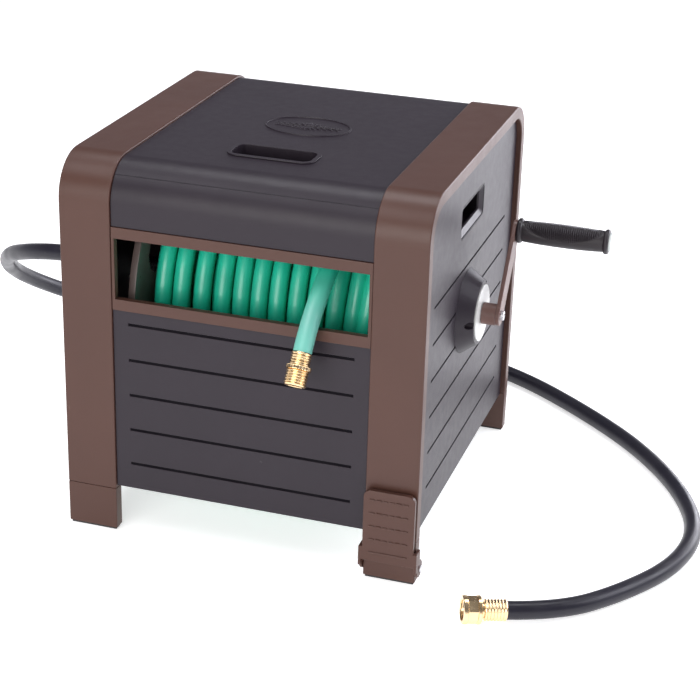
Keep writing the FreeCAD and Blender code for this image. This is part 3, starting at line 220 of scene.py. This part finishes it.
BROWN = (0.072, 0.031, 0.022)
CHARCOAL = (0.020, 0.0145, 0.021)
GREEN = (0.012, 0.58, 0.37)
GREEN_SCUFF = (0.14, 0.56, 0.42)
# painted highlight: the tail turns paler as it leaves the slot into the light
PAINTED_HIGHLIGHT_GREEN = (0.17, 0.53, 0.44)
PAINTED_HIGHLIGHT_START, PAINTED_HIGHLIGHT_END = -0.185, -0.240
finishes = {
    "brown_frame": Finish("moulded brown plastic", BROWN, 0.38, specular=0.34).mottle(0.04)
    .scuffs((0.17, 0.10, 0.08), 70, 0.70, 0.80, (1, 1, 0.3)).dust((0.15, 0.10, 0.085), 0.04)
    .uneven(0.03).grain(1500, 0.00012, 0.3).done(),
    "dark_panel": Finish("moulded charcoal plastic", CHARCOAL, 0.40, specular=0.29).mottle(0.05, 14)
    .scuffs((0.075, 0.066, 0.072), 80, 0.72, 0.82).dust((0.07, 0.06, 0.07), 0.03, 30)
    .uneven(0.025, 90).grain(1300, 0.00014, 0.35).done(),
    "white_plastic": Finish("white acetal", (0.62, 0.62, 0.60), 0.34).mottle(0.04, 30)
    .scuffs((0.42, 0.41, 0.38)).uneven(0.06).grain(900, 0.00004, 0.2).done(),
    "grey_plastic": Finish("dark brown-grey plastic", (0.120, 0.088, 0.080), 0.34).mottle(0.12)
    .scuffs((0.13, 0.11, 0.10)).uneven(0.07).grain(1100, 0.0001, 0.3).done(),
    "green_hose": Finish("green vinyl hose", GREEN, 0.40, specular=0.7, coat=0.2).mottle(0.10, 22)
    .scuffs(GREEN_SCUFF, 130, 0.70, 0.80).uneven(0.07)
    .grain(700, 0.00008, 0.3).grain(60, 0.0006, 0.2).done(),
    # painted shade: a near-black finish for the strips laid in the grooves, where shade falls
    "groove": Finish("painted groove shade", (0.004, 0.003, 0.005), 0.8, specular=0.1).mottle(0.2, 30)
    .uneven(0.1).done(),
    # painted highlight: the tail's green is paler outside the slot, where the light falls on it
    "green_tail": Finish("green hose with painted highlight", GREEN, 0.40, specular=0.7, coat=0.2).mottle(0.10, 22)
    .scuffs(GREEN_SCUFF, 130, 0.70, 0.80).painted_highlight(PAINTED_HIGHLIGHT_GREEN, PAINTED_HIGHLIGHT_START, PAINTED_HIGHLIGHT_END)
    .uneven(0.07).grain(700, 0.00008, 0.3).grain(60, 0.0006, 0.2).done(),
    "black_hose": Finish("black rubber hose", (0.012, 0.011, 0.019), 0.36, specular=0.36).mottle(0.14, 18)
    .scuffs((0.07, 0.07, 0.08), 120, 0.70, 0.80).dust((0.06, 0.057, 0.06), 0.15)
    .uneven(0.07).grain(900, 0.0001, 0.3).grain(45, 0.0007, 0.15).done(),
    "brass": Finish("turned brass", (0.90, 0.68, 0.40), 0.22, metal=1.0).mottle(0.06, 40)
    .scuffs((0.60, 0.40, 0.20), 90, 0.64, 0.78).uneven(0.07, 120)
    .grain(1200, 0.00004, 0.3).done(),
    "steel": Finish("zinc-plated steel", (0.60, 0.60, 0.62), 0.30, metal=1.0).mottle(0.10, 60)
    .scuffs((0.36, 0.35, 0.34), 140, 0.62, 0.75).uneven(0.08, 90)
    .grain(1400, 0.00003, 0.25).done(),
    "brown_metal": Finish("brown powder coat", (0.125, 0.064, 0.053), 0.38).mottle(0.07, 20)
    .scuffs((0.28, 0.21, 0.18), 90, 0.70, 0.78).uneven(0.06)
    .grain(1900, 0.00012, 0.5).done(),
    "rubber": Finish("black foot rubber", (0.020, 0.019, 0.019), 0.72).mottle(0.15, 30)
    .scuffs((0.08, 0.07, 0.07)).uneven(0.08).grain(1000, 0.00012, 0.5).done(),
    "grip": Finish("soft black grip", (0.014, 0.010, 0.013), 0.42, specular=0.4).mottle(0.12, 40)
    .scuffs((0.05, 0.045, 0.05), 150, 0.68, 0.78).uneven(0.08)
    .grain(1300, 0.00008, 0.4).done(),
    "cap": Finish("pale grip cap", (0.62, 0.66, 0.64), 0.30).mottle(0.04)
    .scuffs((0.40, 0.40, 0.38)).uneven(0.06).grain(900, 0.00004, 0.2).done(),
}


def dress(item, slot, finish=None):
    """Give a piece the finish of one of the record's material slots, or a variant of it."""
    item.data.materials.clear()
    item.data.materials.append(finishes[finish or slot])


for part in frame["record"]["subparts"]:
    shown = nodes[part["node"]]
    shown.data.materials.clear()
    shown.data.materials.append(finishes[part["material_slot"]])


# ---------------------------------------------------------------- hoses
LEADER_ROUTE = mm([
    (-278, -18, 272), (-330, -18, 272), (-392, 4, 257), (-448, 54, 228), (-486, 118, 186), (-501, 188, 142),
    (-484, 258, 98), (-436, 322, 57), (-358, 372, 26), (-258, 405, 12.5), (-140, 428, 11), (-20, 439, 11),
    (100, 428, 11), (213, 383, 11), (325, 298, 11), (420, 208, 11), (492, 104, 11), (528, 2, 11),
    (515, -94, 11), (464, -180, 11), (404, -249, 13), (346, -274.2, 16.2),
])
TAIL_ROUTE = mm([
    (96, -88, 422), (94.5, -118, 403.2), (93, -149, 384.6), (91.6, -181, 365.5), (90.4, -210, 345.5),
    (89.4, -236, 323.5), (88.6, -251, 306.5), (88, -260, 292.5),
])


def hose(name, route, radius=HOSE_RADIUS, steps=10, round_steps=6):
    """A round hose with closed ends along one open NURBS spline."""
    curve = bpy.data.curves.new(name, "CURVE")
    curve.dimensions = "3D"
    spline = curve.splines.new("NURBS")
    spline.points.add(len(route) - 1)
    for point, at in zip(spline.points, route):
        point.co = (*at, 1)
    spline.order_u = 3
    spline.use_endpoint_u = True
    curve.resolution_u = curve.render_resolution_u = steps
    curve.bevel_depth = radius
    curve.bevel_resolution = round_steps
    curve.use_fill_caps = True
    item = bpy.data.objects.new(name, curve)
    scene.collection.objects.link(item)
    return item


leader = hose("leader_hose_skin", LEADER_ROUTE)
dress(leader, "black_hose")
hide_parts("leader_hose")
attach(leader, "cabinet")

tail = hose("hose_tail_skin", TAIL_ROUTE)
dress(tail, "green_hose", "green_tail")
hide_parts("hose_tail")
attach(tail, "cabinet")

WOUND_RADIUS = 10.7 * MM
LAYER_RADII = (103.3 * MM, 122.3 * MM, 141.3 * MM)
LAYER_TURNS = 12
TURN_POINTS = 16
FIRST_TURN, TURN_PITCH = -132, 24
WANDER = 0.3
# where each turn of the outer layer stands as it passes the slot, and how far its top leans from its foot
OUTER_TURNS = ((-126, 0), (-102.6, 0), (-76, 1), (-49.5, 0), (-25.7, -1), (-2.9, 0), (20.3, 0), (44, 1),
               (67.5, 2), (92.3, 6), (114, 9), (132, 7))
# the last turn climbs over its neighbours to the tail: part of a turn, place along the axle, radius
CLIMB = ((0.50, 128, 141.3), (0.56, 121, 144), (0.62, 112, 150), (0.67, 104, 157), (0.71, 99, 162),
         (0.735, 97, 164.5), (0.7555, 96, 165.5))


def front_places(layer):
    """Where the layer's turns pass the slot; the inner layers are even, and every other one runs back."""
    if layer == 2:
        return [(x * MM, lean * MM) for x, lean in OUTER_TURNS]
    places = [(FIRST_TURN + TURN_PITCH * i) * MM for i in range(LAYER_TURNS)]
    return [(x, 0) for x in (places if layer == 0 else places[::-1])]


def wound_route():
    """Three layers of turns about the axle, and the last turn's climb to where the tail begins."""
    steady = random.Random(7)
    # the curve runs inside the ring of its points by this part of the radius
    inside = (3 + math.cos(2 * math.pi / TURN_POINTS)) / 4
    points = []

    def add(x, radius, turn):
        angle = math.pi * (2 * turn - 1)
        points.append(Vector((x, AXLE_Y + radius / inside * math.cos(angle + math.pi),
                              AXLE_Z + radius / inside * math.sin(angle + math.pi))))

    for layer, radius in enumerate(LAYER_RADII):
        places = front_places(layer)
        last_step = TURN_POINTS * LAYER_TURNS - (TURN_POINTS // 2 if layer == 2 else 0)
        for step in range(last_step):
            whole, part = divmod(step, TURN_POINTS)
            side = 2 * part / TURN_POINTS - 1
            here, lean = places[whole]
            near = places[max(0, min(LAYER_TURNS - 1, whole + (1 if side > 0 else -1)))][0]
            away = abs(side) ** 2.2 / 2
            x = here + (near - here) * away - lean * math.sin(math.pi * side) * (1 - abs(side))
            wander = steady.uniform(-WANDER, WANDER) * MM if layer == 2 else 0
            add(x + wander, radius, whole + part / TURN_POINTS)
    for part, x, radius in CLIMB:
        # the curve meets its last point, so that point isn't moved outwards
        held = inside if part == CLIMB[-1][0] else 1
        add(x * MM, radius * MM * held, LAYER_TURNS - 1 + part)
    return points


wound = hose("wound_hose", wound_route(), WOUND_RADIUS, steps=3, round_steps=4)
dress(wound, "green_hose")
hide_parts("hose_winding")
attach(wound, "reel")


# ---------------------------------------------------------------- shaping helpers
def piece(name, mesh, body, slot, *replaced):
    """Link a finished bmesh as a piece that rides on a body."""
    data = bpy.data.meshes.new(name)
    mesh.to_mesh(data)
    mesh.free()
    item = bpy.data.objects.new(name, data)
    scene.collection.objects.link(item)
    dress(item, slot)
    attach(item, body)
    if replaced:
        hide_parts(*replaced)
    return item


def smooth(mesh, angle=32):
    """Smooth shading, with the edges that turn by more than the angle kept sharp."""
    for face in mesh.faces:
        face.smooth = True
    for edge in mesh.edges:
        edge.smooth = len(edge.link_faces) == 2 and edge.calc_face_angle(0) < math.radians(angle)


def merged(node):
    """A welded copy of a node's mesh, with its flat triangles joined into whole faces."""
    mesh = bmesh.new()
    mesh.from_mesh(nodes[node].data)
    bmesh.ops.remove_doubles(mesh, verts=mesh.verts, dist=2e-6)
    bmesh.ops.dissolve_limit(mesh, angle_limit=math.radians(0.5), verts=mesh.verts, edges=mesh.edges)
    return mesh


def long_corners(mesh, smallest, angle=38):
    """The convex sharp edges whose joined outline is larger than a screw hole."""
    sharp = [e for e in mesh.edges
             if len(e.link_faces) == 2 and e.is_convex and e.calc_face_angle(0) > math.radians(angle)]
    left, kept = set(sharp), []
    while left:
        group, ends = [], [left.pop()]
        while ends:
            edge = ends.pop()
            group.append(edge)
            for vert in edge.verts:
                for other in vert.link_edges:
                    if other in left:
                        left.remove(other)
                        ends.append(other)
        corners = [v.co for e in group for v in e.verts]
        extent = max(max(c[k] for c in corners) - min(c[k] for c in corners) for k in range(3))
        if extent > smallest:
            kept += group
    return kept


def softened(node, width, segments=2, smallest=0.03, body="cabinet"):
    """A node's own shape with its moulded edges rounded; smallest is the least outline, in metres."""
    mesh = merged(node)
    bmesh.ops.bevel(mesh, geom=long_corners(mesh, smallest), offset=width, offset_type="OFFSET",
                    segments=segments, profile=0.5, affect="EDGES", clamp_overlap=True, material=-1)
    smooth(mesh)
    slot = next(s["material_slot"] for s in frame["record"]["subparts"] if s["node"] == node)
    item = piece(node + "_soft", mesh, body, slot, node)
    item.modifiers.new("even normals", "WEIGHTED_NORMAL").keep_sharp = True


for name in ("right_side_frame", "left_side_frame"):
    softened(name, 2.2 * MM, 3)
for name in ("front_right_foot", "front_left_foot", "rear_right_foot", "rear_left_foot"):
    softened(name, 1.2 * MM)
for name in ("slot_frame", "front_base_rail", "rear_base_rail"):
    softened(name, 0.9 * MM)
for name in ("right_side_panel", "left_side_panel", "front_panel", "front_fascia", "rear_panel",
             "right_bearing_housing", "left_bearing_housing"):
    softened(name, 0.8 * MM)
softened("lid_panel", 0.8 * MM, body="lid")
softened("lid_grip_cup", 0.7 * MM, body="lid")
for name in ("crank_hub", "crank_arm"):
    softened(name, 0.7 * MM, 3, smallest=0.015, body="reel")
softened("crank_screw", 0.3 * MM, smallest=0.004, body="reel")
for name in ("right_flange", "left_flange"):
    softened(name, 1.0 * MM, body="reel")
softened("foot_step", 0.8 * MM, 3, body="step", smallest=0.006)
softened("foot_pads", 0.6 * MM)


# ---------------------------------------------------------------- turned pieces
def turned(section, steps):
    """A ring turned about Z from its closed section of (radius, height) pairs in millimetres."""
    mesh = bmesh.new()
    verts = [mesh.verts.new((r * MM, 0, z * MM)) for r, z in section]
    edges = [mesh.edges.new(pair) for pair in zip(verts, verts[1:] + verts[:1])]
    bmesh.ops.spin(mesh, geom=verts + edges, cent=(0, 0, 0), axis=(0, 0, 1), angle=2 * math.pi,
                   steps=steps, use_merge=True, use_duplicate=False)
    bmesh.ops.remove_doubles(mesh, verts=mesh.verts, dist=1e-7)
    bmesh.ops.recalc_face_normals(mesh, faces=mesh.faces)
    return mesh


def finely(radius, low, high, step):
    """A stretch of constant radius between two heights, cut into short steps."""
    count = max(2, round((high - low) / step))
    return [(radius, low + (high - low) * i / count) for i in range(count + 1)]


def reshaped(mesh, change):
    """Move points in or out from Z: change gives the new radius for a radius, height and angle."""
    for vert in mesh.verts:
        radius = math.hypot(vert.co.x, vert.co.y)
        if radius > 1e-7:
            angle = math.atan2(vert.co.y, vert.co.x)
            grown = change(radius / MM, vert.co.z / MM, angle) * MM / radius
            vert.co.x *= grown
            vert.co.y *= grown


def set_along(mesh, start, heading):
    """Stand a piece that was made along Z at a point, along a heading."""
    turn = Vector((0, 0, 1)).rotation_difference(heading).to_matrix().to_4x4()
    bmesh.ops.transform(mesh, matrix=Matrix.Translation(start) @ turn, verts=mesh.verts)


def along_end(route, distance):
    """The point past a route's end at a distance in millimetres, and the heading there."""
    heading = (route[-1] - route[-2]).normalized()
    return route[-1] + heading * distance * MM, heading


def ridge(value):
    """A rounded ridge: 1 at whole numbers and 0 half way between."""
    return 0.5 + 0.5 * math.cos(2 * math.pi * value)


FERRULE_BORE = 7.9
RING_DEPTH = 1.1


def ribbed_ferrule(length, radius, rings):
    """A crimped brass sleeve with rolled rings."""
    mouth = radius - 0.8
    skin = finely(radius, 1.2, length - 1.2, 0.35)
    mesh = turned([(FERRULE_BORE, 0), (mouth, 0), *skin, (mouth, length), (FERRULE_BORE, length)], 56)
    start, end = 1.6, length - 1.6

    def change(r, z, a):
        if r > radius - 0.1 and start < z < end:
            return r - RING_DEPTH * (1 - ridge((z - start) / (end - start) * rings))
        return r

    reshaped(mesh, change)
    return mesh


def swivel_nut():
    """A brass nut with eight flats between two round rims, open at its mouth."""
    lip_eye, thread, rim, flat = 10.3, 12.9, 17.0, 16.4
    to_flat, thread_depth, thread_pitch = 15.15, 0.75, 2.2
    profile = [(lip_eye, 0), (rim - 1.0, 0), (rim, 0.9), (rim, 4.2), (flat, 5.0),
               *finely(flat, 5.6, 15.4, 0.7), (flat, 16.0), (rim, 16.8), (rim, 21.0), (rim - 0.9, 22),
               (thread + 0.9, 22), (thread, 21.2), *finely(thread, 8.2, 20.6, 0.45)[::-1],
               (thread, 3.2), (lip_eye, 3.0)]
    mesh = turned(profile, 96)

    def change(r, z, a):
        if abs(r - flat) < 0.05:
            eighth = (a % (math.pi / 4)) - math.pi / 8
            return min(r, to_flat / math.cos(eighth))
        if abs(r - thread) < 0.05 and 8 < z < 20.8:
            return r - thread_depth * ridge(z / thread_pitch - a / (2 * math.pi))
        return r

    reshaped(mesh, change)
    return mesh


def male_fitting():
    """A brass collar with fine knurls and a male thread with an open bore."""
    collar, thread, bore = 14.7, 13.5, 9.5
    knurls, knurl_depth, thread_depth, thread_pitch = 32, 0.5, 1.5, 3.2
    profile = [(bore, 0), (collar - 1.6, 0), (collar, 1.0), *finely(collar, 1.4, 4.8, 0.4), (collar, 5.4),
               (thread - 1.2, 6.2), *finely(thread, 6.8, 22.4, 0.25), (thread - 1.3, 24), (bore + 1.0, 24),
               (bore, 23.2)]
    mesh = turned(profile, 112)

    def change(r, z, a):
        if abs(r - collar) < 0.05 and 1.2 < z < 5.2:
            return r - knurl_depth * ridge(a * knurls / (2 * math.pi))
        if abs(r - thread) < 0.05:
            fade = min(1, (z - 6.4) / 1.2, (22.8 - z) / 1.5)
            return r - thread_depth * fade * (1 - ridge(z / thread_pitch - a / (2 * math.pi)))
        return r

    reshaped(mesh, change)
    return mesh


def brass_piece(name, mesh, start, heading, node, body="cabinet"):
    """A turned brass piece set at a point along a heading, in place of its plain node."""
    set_along(mesh, start, heading)
    smooth(mesh, 34)
    return piece(name, mesh, body, "brass", node)


LEADER_NUT_PAST_HOSE = 29.7
TAIL_FERRULE_LENGTH = 15
leader_ferrule = brass_piece("leader_ferrule_ribbed", ribbed_ferrule(26, 13, 6),
                             *along_end(LEADER_ROUTE, 0), "leader_ferrule")
leader_nut = brass_piece("leader_nut_faceted", swivel_nut(),
                         *along_end(LEADER_ROUTE, LEADER_NUT_PAST_HOSE), "leader_swivel_nut", "swivel_nut")
tail_ferrule = brass_piece("tail_ferrule_ribbed", ribbed_ferrule(TAIL_FERRULE_LENGTH, 12.2, 4),
                           *along_end(TAIL_ROUTE, 0), "tail_ferrule")
tail_fitting = brass_piece("tail_fitting_threaded", male_fitting(),
                           *along_end(TAIL_ROUTE, TAIL_FERRULE_LENGTH), "tail_male_fitting")
softened("leader_stem", 0.4 * MM, smallest=0.01)
softened("inlet_nut", 0.9 * MM, smallest=0.01)
softened("inlet_fitting", 0.5 * MM, smallest=0.01)
inlet_low, inlet_high = (Vector(c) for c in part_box("inlet_ferrule"))
inlet_sleeve = brass_piece("inlet_ferrule_ribbed", ribbed_ferrule((inlet_high.x - inlet_low.x) / MM, 13, 5),
                           Vector((inlet_high.x, AXLE_Y, AXLE_Z)), Vector((-1, 0, 0)), "inlet_ferrule")


# ---------------------------------------------------------------- hand grip
FIELD_SIDE = math.radians(-160)
FIELD_REACH = 1.45  # how far round the grip the ribs go from the middle of their field, in radians
RIB_PITCH, RIB_DEPTH, RIB_BOW = 2.6, 1.15, 2.2
BORDER_DEPTH = 0.45


def hand_grip():
    """A grip with a bead at each end and an oval field of fine ribs over a smooth palm side."""
    low, high = (Vector(c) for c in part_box("hand_grip"))
    length = (high.x - low.x) / MM
    bead, neck, belly, bore = 15.6, 13.1, 14.9, 5.2
    bead_end, steps = 7.5, 210
    skin = []
    for i in range(steps + 1):
        swell = math.sin(math.pi * i / steps) ** 0.7
        skin.append((neck + (belly - neck) * swell, bead_end + (length - 2 * bead_end) * i / steps))
    profile = [(bore, 0), (bead - 1.4, 0), (bead - 0.3, 0.7), (bead, 2.2), (bead, 3.6), (bead - 0.5, 5.2),
               (neck, 6.4), *skin, (neck, length - 6.4), (bead - 0.5, length - 5.2), (bead, length - 3.6),
               (bead, length - 2.2), (bead - 0.4, length - 0.8), (bead - 1.6, length), (bore, length)]
    mesh = turned(profile, 96)
    middle = length / 2

    def change(r, z, a):
        if not 7 < z < length - 7 or r < neck - 0.1:
            return r
        around = math.atan2(math.sin(a - FIELD_SIDE), math.cos(a - FIELD_SIDE))
        edge = (around / FIELD_REACH) ** 2 + ((z - middle) / (middle - 9)) ** 2
        inside = max(0.0, min(1.0, (1 - edge) * 9))
        border = math.exp(-((edge - 1.03) / 0.045) ** 2)
        rib = 0.10 + RIB_DEPTH * (1 - ridge((z + RIB_BOW * math.cos(around)) / RIB_PITCH))
        return r - inside * rib - BORDER_DEPTH * border

    reshaped(mesh, change)
    set_along(mesh, Vector((low.x, (low.y + high.y) / 2, (low.z + high.z) / 2)), Vector((1, 0, 0)))
    smooth(mesh, 50)
    piece("hand_grip_ribbed", mesh, "crank_grip", "grip", "hand_grip")


hand_grip()
softened("grip_end_cap", 0.5 * MM, smallest=0.01, body="crank_grip")


# ---------------------------------------------------------------- hand-hold bezels
HOLD_AT = (218, -8, 398)
HOLD_HALF_Y, HOLD_HALF_Z, HOLD_CORNER = 55.6, 21.1, 8.6
# the bezel's section, as insets from the hold's outline and depths behind its face
BEZEL_SECTION = ((0.0, 0.0), (1.4, 0.2), (2.2, 2.6), (2.6, 0.9), (9.0, 4.6), (9.6, 7.0), (3.0, 7.4),
                 (0.0, 2.6))
CORNER_POINTS = 6


def bezel(side):
    """A moulded frame that slopes into a hand-hold's tub."""
    middle = Vector((side * HOLD_AT[0], HOLD_AT[1], HOLD_AT[2])) * MM
    mesh = bmesh.new()
    loops = []
    for inset, depth in BEZEL_SECTION:
        half_y, half_z = HOLD_HALF_Y - inset, HOLD_HALF_Z - inset
        corner = max(2.5, HOLD_CORNER - inset)
        verts = []
        for quarter, (sy, sz) in enumerate(((1, 1), (-1, 1), (-1, -1), (1, -1))):
            for k in range(CORNER_POINTS):
                angle = math.radians(90 * quarter + 18 * k)
                verts.append(mesh.verts.new((
                    middle.x - side * depth * MM,
                    middle.y + (sy * (half_y - corner) + corner * math.cos(angle)) * MM,
                    middle.z + (sz * (half_z - corner) + corner * math.sin(angle)) * MM)))
        loops.append([mesh.edges.new((a, b)) for a, b in zip(verts, verts[1:] + verts[:1])])
    for one, two in zip(loops, loops[1:] + loops[:1]):
        bmesh.ops.bridge_loops(mesh, edges=one + two)
    bmesh.ops.recalc_face_normals(mesh, faces=mesh.faces)
    smooth(mesh, 40)
    piece("%s_hold_bezel" % ("right" if side > 0 else "left"), mesh, "cabinet", "dark_panel")


bezel(1)
bezel(-1)


# ---------------------------------------------------------------- painted shade in the grooves
def painted_groove_shade(name, boxes):
    """Painted shade: dark strips laid on the floors of a panel's grooves, where shade falls, each from its
    low to its high corner.
    """
    mesh = bmesh.new()
    for low, high in boxes:
        middle, size = (low + high) / 2 * MM, (high - low) * MM
        bmesh.ops.create_cube(mesh, size=1, matrix=Matrix.Translation(middle) @ Matrix.Diagonal((*size, 1)))
    item = piece(name, mesh, "cabinet", "dark_panel")
    dress(item, "dark_panel", "groove")


STRIP_HALF_WIDTH = 1.5
STRIP_TOP, STRIP_FLOOR = 0.9, 2.15  # below the side panel's face
SIDE_GROOVES, SIDE_TOP_GROOVE, SIDE_PITCH, SIDE_REACH = 6, 333.5, 46.5, 172.9
HOUSING_BACK, HOUSING_FRONT, HOUSING_REACH = 24, -60, 40
FRONT_GROOVES, FRONT_TOP_GROOVE, FRONT_PITCH, FRONT_REACH = 5, 280, 46, 140.5
FRONT_STRIP_TOP, FRONT_STRIP_FLOOR = -229.1, -227.85


def side_grooves(side):
    """The painted-shade strips of one side; those beside the bearing housing stop short of it."""
    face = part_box("right_side_panel")[1][0] / MM
    low_x, high_x = sorted((side * (face - STRIP_TOP), side * (face - STRIP_FLOOR)))
    strips = []
    for i in range(SIDE_GROOVES):
        z = SIDE_TOP_GROOVE - SIDE_PITCH * i
        spans = ((-SIDE_REACH, SIDE_REACH),)
        if abs(z - AXLE_Z / MM) < HOUSING_REACH:
            spans = ((-SIDE_REACH, HOUSING_FRONT), (HOUSING_BACK, SIDE_REACH))
        for low_y, high_y in spans:
            strips.append((Vector((low_x, low_y, z - STRIP_HALF_WIDTH)),
                           Vector((high_x, high_y, z + STRIP_HALF_WIDTH))))
    return strips


def front_grooves():
    """The painted-shade strips of the front panel."""
    strips = []
    for i in range(FRONT_GROOVES):
        z = FRONT_TOP_GROOVE - FRONT_PITCH * i
        strips.append((Vector((-FRONT_REACH, FRONT_STRIP_TOP, z - STRIP_HALF_WIDTH)),
                       Vector((FRONT_REACH, FRONT_STRIP_FLOOR, z + STRIP_HALF_WIDTH))))
    return strips


# painted shade: dark strips in the grooves of the side and front panels
painted_groove_shade("right_groove_painted_shade", side_grooves(1))
painted_groove_shade("left_groove_painted_shade", side_grooves(-1))
painted_groove_shade("front_groove_painted_shade", front_grooves())


# ---------------------------------------------------------------- lid badge
RING_HEIGHT = 1.3


def lid_badge():
    """A raised oval ring with a plain sprig of leaves inside."""
    low, high = (Vector(c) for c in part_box("lid_badge"))
    middle = (low + high) / 2
    half_x, half_y = (high.x - low.x) / 2, (high.y - low.y) / 2
    top = high.z - low.z
    mesh = turned([(37.2, 0), (37.4, 0.9), (38.4, RING_HEIGHT), (38.9, 0.8), (39, 0)], 96)
    bmesh.ops.scale(mesh, vec=(half_x / half_y, 1, top / (RING_HEIGHT * MM)), verts=mesh.verts)
    bmesh.ops.translate(mesh, vec=(middle.x, middle.y, low.z), verts=mesh.verts)

    def leaf(at, angle, length, width):
        """A pointed leaf at a place from the middle, turned by degrees."""
        verts = bmesh.ops.create_uvsphere(mesh, u_segments=16, v_segments=8, radius=1)["verts"]
        for vert in verts:
            vert.co.y *= 1 - 0.45 * vert.co.x
        spot = Matrix.Translation((middle.x + at[0] * MM, middle.y + at[1] * MM, low.z + 0.05 * MM))
        turn = Matrix.Rotation(math.radians(angle), 4, "Z")
        shape = Matrix.Diagonal((length / 2 * MM, width / 2 * MM, top * 0.95, 1))
        bmesh.ops.transform(mesh, matrix=spot @ turn @ shape, verts=verts)

    for side in (-1, 1):
        for i in range(5):
            out = side * (8 + 7.6 * i)
            for lift in (-1, 1):
                outward = 0 if side > 0 else 180
                leaf((out, lift * (6.5 - 0.8 * i)), outward + lift * side * 42, 13 - i, 4.6 - 0.3 * i)
        leaf((side * 24, 0), 0, 36, 1.3)
    for angle in (60, 90, 120, 240, 270, 300):
        place = math.radians(angle)
        leaf((7 * math.cos(place), 9 * math.sin(place)), angle, 14, 5)
    bmesh.ops.recalc_face_normals(mesh, faces=mesh.faces)
    smooth(mesh, 40)
    piece("lid_badge_sprig", mesh, "lid", "dark_panel", "lid_badge")


lid_badge()


# ---------------------------------------------------------------- floor and light
FLOOR_REACH, FLOOR_DROP, FLOOR_GLOW = 25, 0.0005, 0.62


def set_stage():
    """A wide pale floor that glows a little, just under the feet."""
    mesh = bmesh.new()
    bmesh.ops.create_grid(mesh, x_segments=1, y_segments=1, size=FLOOR_REACH)
    data = bpy.data.meshes.new("floor")
    mesh.to_mesh(data)
    mesh.free()
    floor = bpy.data.objects.new("floor", data)
    scene.collection.objects.link(floor)
    floor.location.z = -FLOOR_DROP
    paint = Finish("pale floor", (0.92, 0.92, 0.92), 0.7, specular=0.2).mottle(0.01, 2).uneven(0.05, 3)
    paint.shader.inputs["Emission Color"].default_value = (1, 1, 1, 1)
    paint.shader.inputs["Emission Strength"].default_value = FLOOR_GLOW
    floor.data.materials.append(paint.done())


def softbox(name, at, aim, size, watts, colour):
    """A rectangular lamp at a place, turned to its aim, that the camera doesn't see."""
    light = bpy.data.lights.new(name, "AREA")
    light.shape = "RECTANGLE"
    light.size, light.size_y = size
    light.energy = watts
    light.color = colour
    item = bpy.data.objects.new(name, light)
    scene.collection.objects.link(item)
    item.location = at
    item.rotation_euler = (Vector(aim) - Vector(at)).to_track_quat("-Z", "Y").to_euler()
    item.visible_camera = False


def set_sky():
    """A white room: bright low down and overhead, dimmer between."""
    world = bpy.data.worlds.new("studio")
    world.use_nodes = True
    tree = world.node_tree
    split = tree.nodes.new("ShaderNodeSeparateXYZ")
    ramp = tree.nodes.new("ShaderNodeValToRGB")
    stops = ((0.0, 0.90), (0.10, 0.74), (0.28, 0.17), (0.65, 0.16), (1.0, 0.30))
    while len(ramp.color_ramp.elements) < len(stops):
        ramp.color_ramp.elements.new(0.5)
    for element, (at, grey) in zip(ramp.color_ramp.elements, stops):
        element.position, element.color = at, (grey * 0.97, grey * 0.97, grey * 1.06, 1)
    tree.links.new(tree.nodes.new("ShaderNodeTexCoord").outputs["Generated"], split.inputs["Vector"])
    tree.links.new(split.outputs["Z"], ramp.inputs["Fac"])
    tree.links.new(ramp.outputs["Color"], tree.nodes["Background"].inputs["Color"])
    tree.nodes["Background"].inputs["Strength"].default_value = 1.0
    scene.world = world


set_stage()
set_sky()
# each lamp's name, place, aim, size, watts and colour
for lamp in (
    ("key", (-0.62, -1.00, 2.2), (0, -0.2, 0.42), (2.0, 0.9), 18, (0.97, 0.97, 1.0)),
    ("overhead", (0.0, 0.55, 2.6), (0, -0.1, 0.45), (2.2, 0.7), 32, (0.96, 0.97, 1.0)),
    ("right", (2.3, 0.6, 1.5), (0.1, 0, 0.3), (1.7, 1.4), 42, (0.92, 0.92, 1.0)),
    ("back right", (1.5, 2.4, 0.7), (0.2, 0, 0.3), (1.9, 1.1), 44, (0.92, 0.92, 1.0)),
    ("front", (-0.3, -2.7, 1.05), (0, 0, 0.3), (2.0, 1.3), 40, (1.0, 0.98, 0.96)),
):
    softbox(*lamp)

scene.view_settings.view_transform = "Standard"
